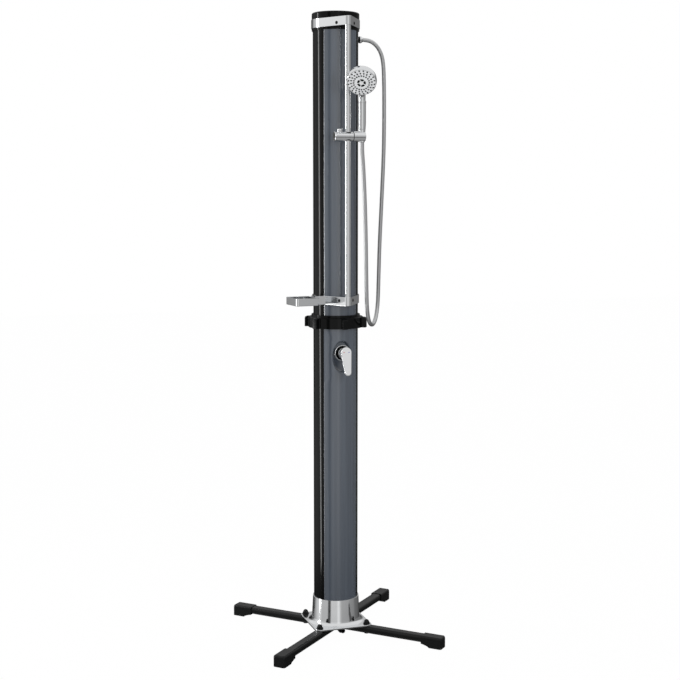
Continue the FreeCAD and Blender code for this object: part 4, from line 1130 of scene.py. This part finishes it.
def union_collar():
    """The hand collar with its grip lobes."""
    lobe_rows = [(lobe_reach - inset, lobe_top - left) for inset, left in quarter(lobe_round, 8)]
    outline = collar_outline()
    rings = [collar_ring(outline, *row) for row in foot_rows + lobe_rows + head_rows]
    return smooth(skin("collar", rings, "joined"), 38.0)


dress(union_collar(), "union_collar")

# %% [markdown]
# ## Cap
# The cap is plainly turned. It has a groove for the upper bracket and a nearly flat crown with a
# generous round at its edge, and it is hollow below, where the tube ends in it.

# %% Top cap
cap_low = 2115.3
cap = turned("cap", [
    (78.2, 0, 0.3), (81.5, 0, 0.8), (81.5, 7, 0.7), (79.8, 7, 0.2), (79.8, 38, 0.2), (81.5, 38, 0.7),
    (81.5, 60.6, 5.2), (60, 61.5, 0), (30, 61.9, 0), (0, 62, 0), (0, 57, 0), (73, 57, 1), (73, 23, 0.3),
    (78.2, 23, 0)], (0, 0, cap_low), steps=192, arc_steps=8)
dress(cap, "top_cap")

# %% [markdown]
# ## Brackets
# Seen from above, a bracket is a drop: the ring round the column runs on in two straight flanks that
# touch the small round of the nose. Rings with a small inset at the top and at the foot round its
# edges, and the holes are cut afterwards. The lower bracket also carries the arm of the soap dish.

# %% Bracket form
bar_y = -134.0
nose_half = 12.0
top_reach = 83.2
low_reach = 81.8
strap_height = 30.0
strap_edge = [(1.2, 0.0), (0.35, 0.35), (0.0, 1.2)]


def flank_bearing(outer):
    """The bearing that the right flank faces, in radians."""
    return math.acos((outer - nose_half) / -bar_y)


def bracket_outline(outer, inset):
    """Ring, flanks and nose in plan, in mm, pulled in by an inset."""
    facing = flank_bearing(outer)
    degrees = math.degrees(facing)
    half = nose_half - inset
    nose = []
    for step in range(33):
        angle = facing * (step / 16 - 1)
        nose.append(Vector((half * math.sin(angle), bar_y - half * math.cos(angle))))
    return arc_points(outer - inset, degrees, 360 - degrees, 150) + nose


def strap(name, outer, low):
    """The outer form of a bracket, with round edges."""
    high = low + strap_height
    stack = [(inset, low + rise) for inset, rise in strap_edge]
    stack += [(inset, high - rise) for inset, rise in reversed(strap_edge)]
    return skin(name, [level(bracket_outline(outer, inset), height) for inset, height in stack])


print("flanks face", round(math.degrees(flank_bearing(top_reach)), 1), "degrees from the front")

# %% Screw places
screw_radius = 5.4
seat_depth = 0.8
screw_spots = {top_reach: (0.65, 2132.4), low_reach: (0.75, 1202.4)}


def screw_place(outer, side):
    """Place and direction of a screw on a flank. The side is -1 or 1."""
    facing = flank_bearing(outer)
    way = Vector((side * math.sin(facing), -math.cos(facing), 0.0))
    to_nose = Vector((-side * math.cos(facing), -math.sin(facing), 0.0))
    length = math.sqrt(bar_y ** 2 - (outer - nose_half) ** 2)
    share, height = screw_spots[outer]
    return way * outer + to_nose * length * share + Vector((0, 0, height)), way


def screw_seats(piece, outer):
    """Two shallow seats for the screws, beside the nose."""
    for side in (-1, 1):
        place, way = screw_place(outer, side)
        bored(piece, screw_radius + 0.3, place - way * seat_depth, 6, way, 32)
    return piece


print("screws on", len(screw_spots), "brackets")

# %% Brackets
bar_bore = 10.1
top_strap = 2122.8
low_strap = 1185.0
dish_turn = 6.0
arm_span = (-102.4, -45.0)


def top_bracket():
    """The bracket in the cap's groove. The bar's seat is open below."""
    piece = strap("bracket_top", top_reach, top_strap)
    bored(piece, 80.0, (0, 0, 2100), 80, steps=240)
    bored(piece, bar_bore, (0, bar_y, 2110), 36.8)
    return screw_seats(piece, top_reach)


def dish_arm():
    """The flat arm from the ring to the soap dish."""
    outline = box_outline((-56.5, low_strap), (-20.5, low_strap + strap_height), 1.2, 3)
    return skin("arm", [swung([Vector((x, y, z)) * mm for y, z in outline], dish_turn) for x in arm_span])


def lower_bracket():
    """The bracket on the column, with the arm. The bar's seat is open above."""
    piece = combined(strap("bracket_low", low_reach, low_strap), dish_arm(), "UNION")
    bored(piece, 78.2, (0, 0, 1150), 100, steps=240)
    bored(piece, bar_bore, (0, bar_y, 1191), 36)
    return screw_seats(piece, low_reach)


dress(top_bracket(), "top_bracket")
dress(lower_bracket(), "lower_bracket")

# %% [markdown]
# ## Bracket screws
# A screw on each flank clamps the bracket. Its head is round and low, with a small round socket that
# shows as a dark dot. The rings go up the rim, over the head and down into the socket.

# %% Bracket screws
head_profile = [
    (screw_radius, 0), (screw_radius, 1.2), (screw_radius - 0.3, 1.8), (screw_radius - 1, 2.2),
    (2.9, 2.2), (2.7, 2.0), (2.7, 0.8)]


def screw_head(outer, side):
    """Rings of one head on the bracket's surface."""
    place, way = screw_place(outer, side)
    matrix = frame_on(place - way * seat_depth, way)
    return [[matrix @ Vector((x, y, height)) for x, y in circle_points(radius, 24)]
            for radius, height in head_profile]


heads = [screw_head(outer, side) for outer in screw_spots for side in (-1, 1)]
dress(skins("screws", heads), "bracket_screws")

# %% [markdown]
# ## Slide bar
# The bar is a round tube that stands in the seats of both brackets. Only its rounded ends differ from
# a plain cylinder, so it is turned like the other round pieces.

# %% Slide bar
slide_bar = turned("bar", [(8.5, 1191, 0.3), (10, 1191, 0.4), (10, 2146.8, 0.4), (8.5, 2146.8, 0.3)],
                   (0, bar_y, 0), arc_steps=2)
dress(slide_bar, "slide_bar")

# %% [markdown]
# ## Soap dish
# The dish is a stack of rounded rectangles: up the outer wall, over the soft rim, down inside and over
# the inner floor. The drain slots are cut last. The dish hangs on its arm, turned a little forward.

# %% Soap dish
dish_x = (-186.4, -102.4)
dish_y = (-96.0, 4.0)
dish_low = 1186.0
dish_rows = [
    (2.0, 0), (0.9, 0.3), (0.3, 0.9), (0, 2.0), (0, 24.8), (0.3, 25.6), (1.0, 26), (2.0, 26), (2.7, 25.6),
    (3.0, 24.8), (3.0, 6.0), (3.4, 4.4), (4.4, 3.4), (6.0, 3.0)]


def dish_ring(inset, height):
    """A rounded rectangle of the dish at one height above its foot."""
    outline = box_outline((dish_x[0] + inset, dish_y[0] + inset), (dish_x[1] - inset, dish_y[1] - inset),
                          max(8.0 - inset, 2.0), 8)
    return level(outline, dish_low + height)


def soap_dish():
    """The tray with its drain slots."""
    tray = skin("tray", [dish_ring(inset, height) for inset, height in dish_rows])
    x = sum(dish_x) / 2
    for number in range(5):
        y = sum(dish_y) / 2 + 12 * (number - 2)
        outline = box_outline((x - 22, y - 2), (x + 22, y + 2), 1.9, 6)
        combined(tray, slab("slot", outline, dish_low - 5, dish_low + 10), "DIFFERENCE")
    bored(tray, 2.6, (dish_x[1] - 8, -38.5, 1200), 20, (1, 0, 0), 32)
    tray.data.transform(Matrix.Rotation(math.radians(dish_turn), 4, "Z"))
    return tray


dress(soap_dish(), "soap_dish")

# %% [markdown]
# ## Slider
# The slider is a lying cylinder on the bar, with a hub at its right for the holder. It is turned round
# its own level axis, and the seats of the bar and of the button are bored. The button is a short
# cylinder with a soft top.

# %% Slider and button
slider_z = 1756.3
button_x = -28.5


def slider_body():
    """The slider with its hub, its bore for the bar and its bore for the button."""
    body = turned("slider", [
        (0, -48.8, 0), (16, -48.8, 2.5), (16, 16.5, 0.4), (9, 16.5, 0), (9, 32, 0.4), (0, 32, 0)],
        (0, bar_y, slider_z), (1, 0, 0), 128)
    bored(body, 12.65, (0, bar_y, slider_z - 40), 80)
    bored(body, 8.85, (button_x, bar_y, slider_z - 11.8), 40)
    return bored(body, 3.0, (23.0, bar_y, slider_z), 12, (1, 0, 0), 32)


dress(slider_body(), "slider_body")
button = turned("button", [
    (0, -5, 0), (8.8, -5, 0.4), (8.8, 18.8, 0.1), (9.2, 18.8, 0.3), (9.2, 25.2, 2.7), (0, 25.2, 0)],
    (button_x, bar_y, slider_z), steps=64)
dress(button, "release_button")

# %% [markdown]
# ## Holder
# The holder is a second, wider cylinder that tilts beside the slider. A cone cut through it is the seat
# of the hose's nut, and a slot towards the right lets the hose in.

# %% Handset holder
seat_x = 50.5


def handset_holder():
    """The tilting holder with its conical seat."""
    body = turned("holder", [
        (9.05, 18.5, 0.4), (17.5, 18.5, 1.2), (17.5, 59.5, 1.6), (0, 59.5, 0), (0, 34.9, 0),
        (3.1, 34.9, 0), (3.1, 32.2, 0), (9.05, 32.2, 0)], (0, bar_y, slider_z), (1, 0, 0), 128)
    cone = turned("cone", [
        (0, -40, 0), (8.1, -40, 0), (9.5, -19, 0), (11.7, 23, 0), (13, 48, 0), (0, 48, 0)],
        (seat_x, bar_y, slider_z))
    combined(body, cone, "DIFFERENCE")
    opening = box_outline((seat_x, bar_y - 8), (70, bar_y + 8), 0, 1)
    return combined(body, slab("slot", opening, slider_z - 40, slider_z + 40), "DIFFERENCE")


dress(handset_holder(), "handset_holder")

# %% [markdown]
# ## Hand shower
# Handle, bead and neck are rings along one path: straight up, then bending towards the head. The head
# is turned about its own axis, which looks forward, down and a little to the left. A union joins the
# two, so that they are one moulding as on the real handset.

# %% Handset path
cone_top = slider_z + 23.0
handle_length = 95.0
neck_bend = 91.0
neck_degrees = 68.0
neck_bearing = math.radians(-21)
neck_way = Vector((math.sin(neck_bearing), -math.cos(neck_bearing), 0))
handle_profile = [
    (-10, 7.9), (-9.5, 8.4), (0, 8.4), (0, 10.9), (0.2, 11.3), (0.7, 11.5), (8, 12.0), (22, 12.7),
    (45, 12.7), (66, 12.7), (87.2, 12.7), (87.8, 12.5), (88.0, 12.9), (88.4, 13.2), (89.5, 13.3),
    (93.6, 13.3), (94.6, 13.1), (handle_length, 12.5), (handle_length, 11.6)]


def handle_stations():
    """Place, heading and radius along the handle and the neck, in mm."""
    foot = Vector((seat_x, bar_y, cone_top))
    up = Vector((0, 0, 1))
    stations = [(foot + up * height, up, radius) for height, radius in handle_profile]
    start = foot + up * handle_length
    for step in range(25):
        share = step / 24
        angle = math.radians(neck_degrees) * share
        place = start + (neck_way * (1 - math.cos(angle)) + up * math.sin(angle)) * neck_bend
        heading = neck_way * math.sin(angle) + up * math.cos(angle)
        stations.append((place, heading, 11.3 + 6.2 * share ** 2))
    return stations


print("handle and neck have", len(handle_stations()), "rings")

# %% Handset body
spray_joint = next(joint for joint in frame["record"]["behaviour"]["joints"]
                   if joint["name"] == "spray_turn")
head_place = Vector(spray_joint["pos_m"]) / mm
head_way = Vector(spray_joint["axis"]).normalized()


def handset_body():
    """Handle, bead, neck and head in one piece."""
    stations = handle_stations()
    path = [(place * mm, heading) for place, heading, _ in stations]
    stem = skin("handset", tube_rings(path, lambda number: stations[number][2] * mm, 72))
    head = turned("head", [
        (0, -5.1, 0), (46.8, -5.1, 0.3), (46.8, 0.4, 0.3), (48.2, 0.4, 0.6), (49.2, -0.9, 1.0),
        (50.6, -12, 6), (49.2, -24, 4), (42, -30, 12), (20, -34, 20), (0, -35, 0)],
        head_place, head_way, 144, 5)
    return combined(stem, head, "UNION")


dress(handset_body(), "handset_body")

# %% [markdown]
# ## Spray face
# The face lies in the head's recess and turns there. It is a slightly crowned disc, so its outline
# follows part of a large ball, and five curved slots are cut into it.

# %% Face helpers
face_crown = 4.0
face_radius = 46.5
slot_middle = 10.9
slot_half = 3.7


def face_level(radius):
    """How far the crowned face stands out at this radius."""
    ball = (face_radius ** 2 + face_crown ** 2) / (2 * face_crown)
    return math.sqrt(ball ** 2 - radius ** 2) - (ball - face_crown)


def crescent(number, grow, low, high):
    """The rings of a curved slot of the face, as a block between two heights."""
    middle = math.radians(72 * number + 6)
    half = math.radians(29) + grow / 11
    outline = []
    for radius, sense in ((slot_middle + slot_half + grow, 1), (slot_middle - slot_half - grow, -1)):
        for step in range(9):
            angle = middle + sense * half * (step / 4 - 1)
            outline.append((radius * math.cos(angle), radius * math.sin(angle)))
    matrix = frame_on(head_place, head_way)
    return [[matrix @ Vector((x, y, height)) for x, y in outline] for height in (low, high)]


print("face stands out by", round(face_level(0.0), 2), "mm in the middle")


# %% Spray face
def spray_face():
    """The crowned face with five curved slots."""
    corners = [(0, face_crown, 0)]
    for step in range(1, 10):
        radius = face_radius * step / 10
        corners.append((radius, face_level(radius), 0))
    corners += [(face_radius, 0.2, 0.5), (face_radius, -5, 0.3), (6, -5, 0), (6, -13, 0.4), (0, -13, 0)]
    disc = turned("face", corners, head_place, head_way, 144, 4)
    for number in range(5):
        block = skin("crescent", crescent(number, 0.0, face_crown - 1.7, face_crown + 2))
        combined(disc, block, "DIFFERENCE")
    return disc


dress(spray_face(), "spray_face")

# %% [markdown]
# ## Spray nozzles
# The nozzles are small oval rubber buttons in slightly swirling rows of three. The same rubber shows
# in the five slots. All of it is one moulding behind the face, so it is one piece here too.

# %% Spray nozzles
nozzle_long = 3.1
nozzle_wide = 2.5
nozzle_swirl = math.radians(20)
nozzle_profile = [(1.0, -1.5), (1.0, 0.3), (0.85, 0.6), (0.5, 0.7)]


def nozzle(angle, reach):
    """The rings of one oval nozzle at a place on the face."""
    matrix = frame_on(head_place, head_way)
    foot = Vector((reach * math.cos(angle), reach * math.sin(angle), face_level(reach)))
    outward = Vector((math.cos(angle + nozzle_swirl), math.sin(angle + nozzle_swirl), 0))
    sideways = Vector((-outward.y, outward.x, 0))
    rings = []
    for share, height in nozzle_profile:
        rings.append([matrix @ (foot + outward * (nozzle_long * x) + sideways * (nozzle_wide * y)
                                + Vector((0, 0, height))) for x, y in circle_points(share, 16)])
    return rings


rubber = [nozzle(math.radians(18 * spoke + 4.5 * row), 26.0 + 8.6 * row)
          for spoke in range(20) for row in range(3)]
rubber += [crescent(number, -0.05, face_crown - 1.6, face_crown - 0.3) for number in range(5)]
dress(skins("nozzles", rubber), "spray_nozzles")

# %% [markdown]
# ## Hose nuts
# The hose has a nut at each end. The lower one is conical and sits in the holder's seat. The upper one
# is a short cap nut on the wall outlet. Both are plainly turned.

# %% Hose nuts
hose_nut = turned("nut_low", [
    (4, -19, 0), (9.2, -19, 0.8), (11.4, 23, 1.0), (8.5, 23, 0.2), (8.5, 11, 0), (4, 11, 0)],
    (seat_x, bar_y, slider_z))
dress(hose_nut, "handset_nut")
wall_nut = turned("nut_wall", [
    (7.7, 0, 0.2), (11.8, 0, 0.7), (11.8, 5.5, 0.5), (8.0, 11.5, 0.6), (4, 11.5, 0.2), (4, 8, 0),
    (7.7, 8, 0)], (85.5, 0, 2090.3), (1, 0, 0), 72)
dress(wall_nut, "hose_wall_nut")

# %% [markdown]
# ## Mixer sleeve
# A thin chromed ring stands round the valve's cartridge, on the floor of the recess. It is turned round
# the valve's axis, which points forward.

# %% Mixer sleeve
mixer_sleeve = turned("sleeve", [
    (20.0, 0, 0.3), (27.5, 0, 0.3), (27.5, 16, 1.3), (24.5, 16, 1.3), (24.5, 2, 0.6), (20.0, 2, 0.2)],
    (0, -floor_depth, valve_z), (0, -1, 0), 128)
dress(mixer_sleeve, "mixer_sleeve")

# %% [markdown]
# ## Mixer lever
# The lever is a hollow skirt over the valve with a drop-shaped blade in front of it. Rings of the same
# drop outline give the blade its round front edge, and it leans out towards its tip.

# %% Lever blade
lever_top = 19.2
lever_tip = 12.3
lever_reach = 69.5
lever_lean = Matrix.Rotation(math.radians(-16.3), 4, "X")
lever_frame = Matrix.Translation((0, -121, valve_z + 7)) @ lever_lean
blade_rows = [
    (1.0, 10.0), (0.3, 9.7), (0.0, 9.0), (0.0, 3.0), (0.15, 2.0), (0.55, 1.15), (1.15, 0.5), (2.0, 0.13),
    (3.0, 0.0)]


def drop(inset):
    """The blade's outline, pulled in by an inset, as (across, up) in mm."""
    top = lever_top - inset
    tip = lever_tip - inset
    spread = math.acos((lever_top - lever_tip) / lever_reach)
    rest = math.pi / 2 - spread
    outline = []
    for step in range(41):
        angle = (math.pi + 2 * rest) * step / 40 - rest
        outline.append((top * math.cos(angle), top * math.sin(angle)))
    for step in range(29):
        angle = math.pi + rest + 2 * spread * step / 28
        outline.append((tip * math.cos(angle), -lever_reach + tip * math.sin(angle)))
    return outline


def leaning(outline, depth):
    """A ring of the lever at one depth behind its face."""
    return [lever_frame @ Vector((x, depth, z)) * mm for x, z in outline]


print("drop outline points:", len(drop(0.0)))


# %% Mixer lever
def mixer_lever():
    """Blade and skirt, hollow behind."""
    lever = skin("lever", [leaning(drop(inset), depth) for inset, depth in blade_rows])
    skirt = turned("skirt", [(0, 0, 0), (20, 0, 0.8), (20, 33, 0), (0, 33, 0)],
                   (0, -82, valve_z), (0, -1, 0))
    block = [(-60, -140), (60, -140), (60, 60), (-60, 60)]
    combined(skirt, skin("ahead", [leaning(block, depth) for depth in (6.0, -60.0)]), "DIFFERENCE")
    combined(lever, skirt, "UNION")
    return bored(lever, 17.0, (0, -70, valve_z), 27.5, (0, -1, 0), 96)


dress(mixer_lever(), "mixer_lever")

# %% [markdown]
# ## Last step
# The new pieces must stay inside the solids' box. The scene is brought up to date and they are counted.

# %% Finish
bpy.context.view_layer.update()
print("new pieces:", len(dressed))
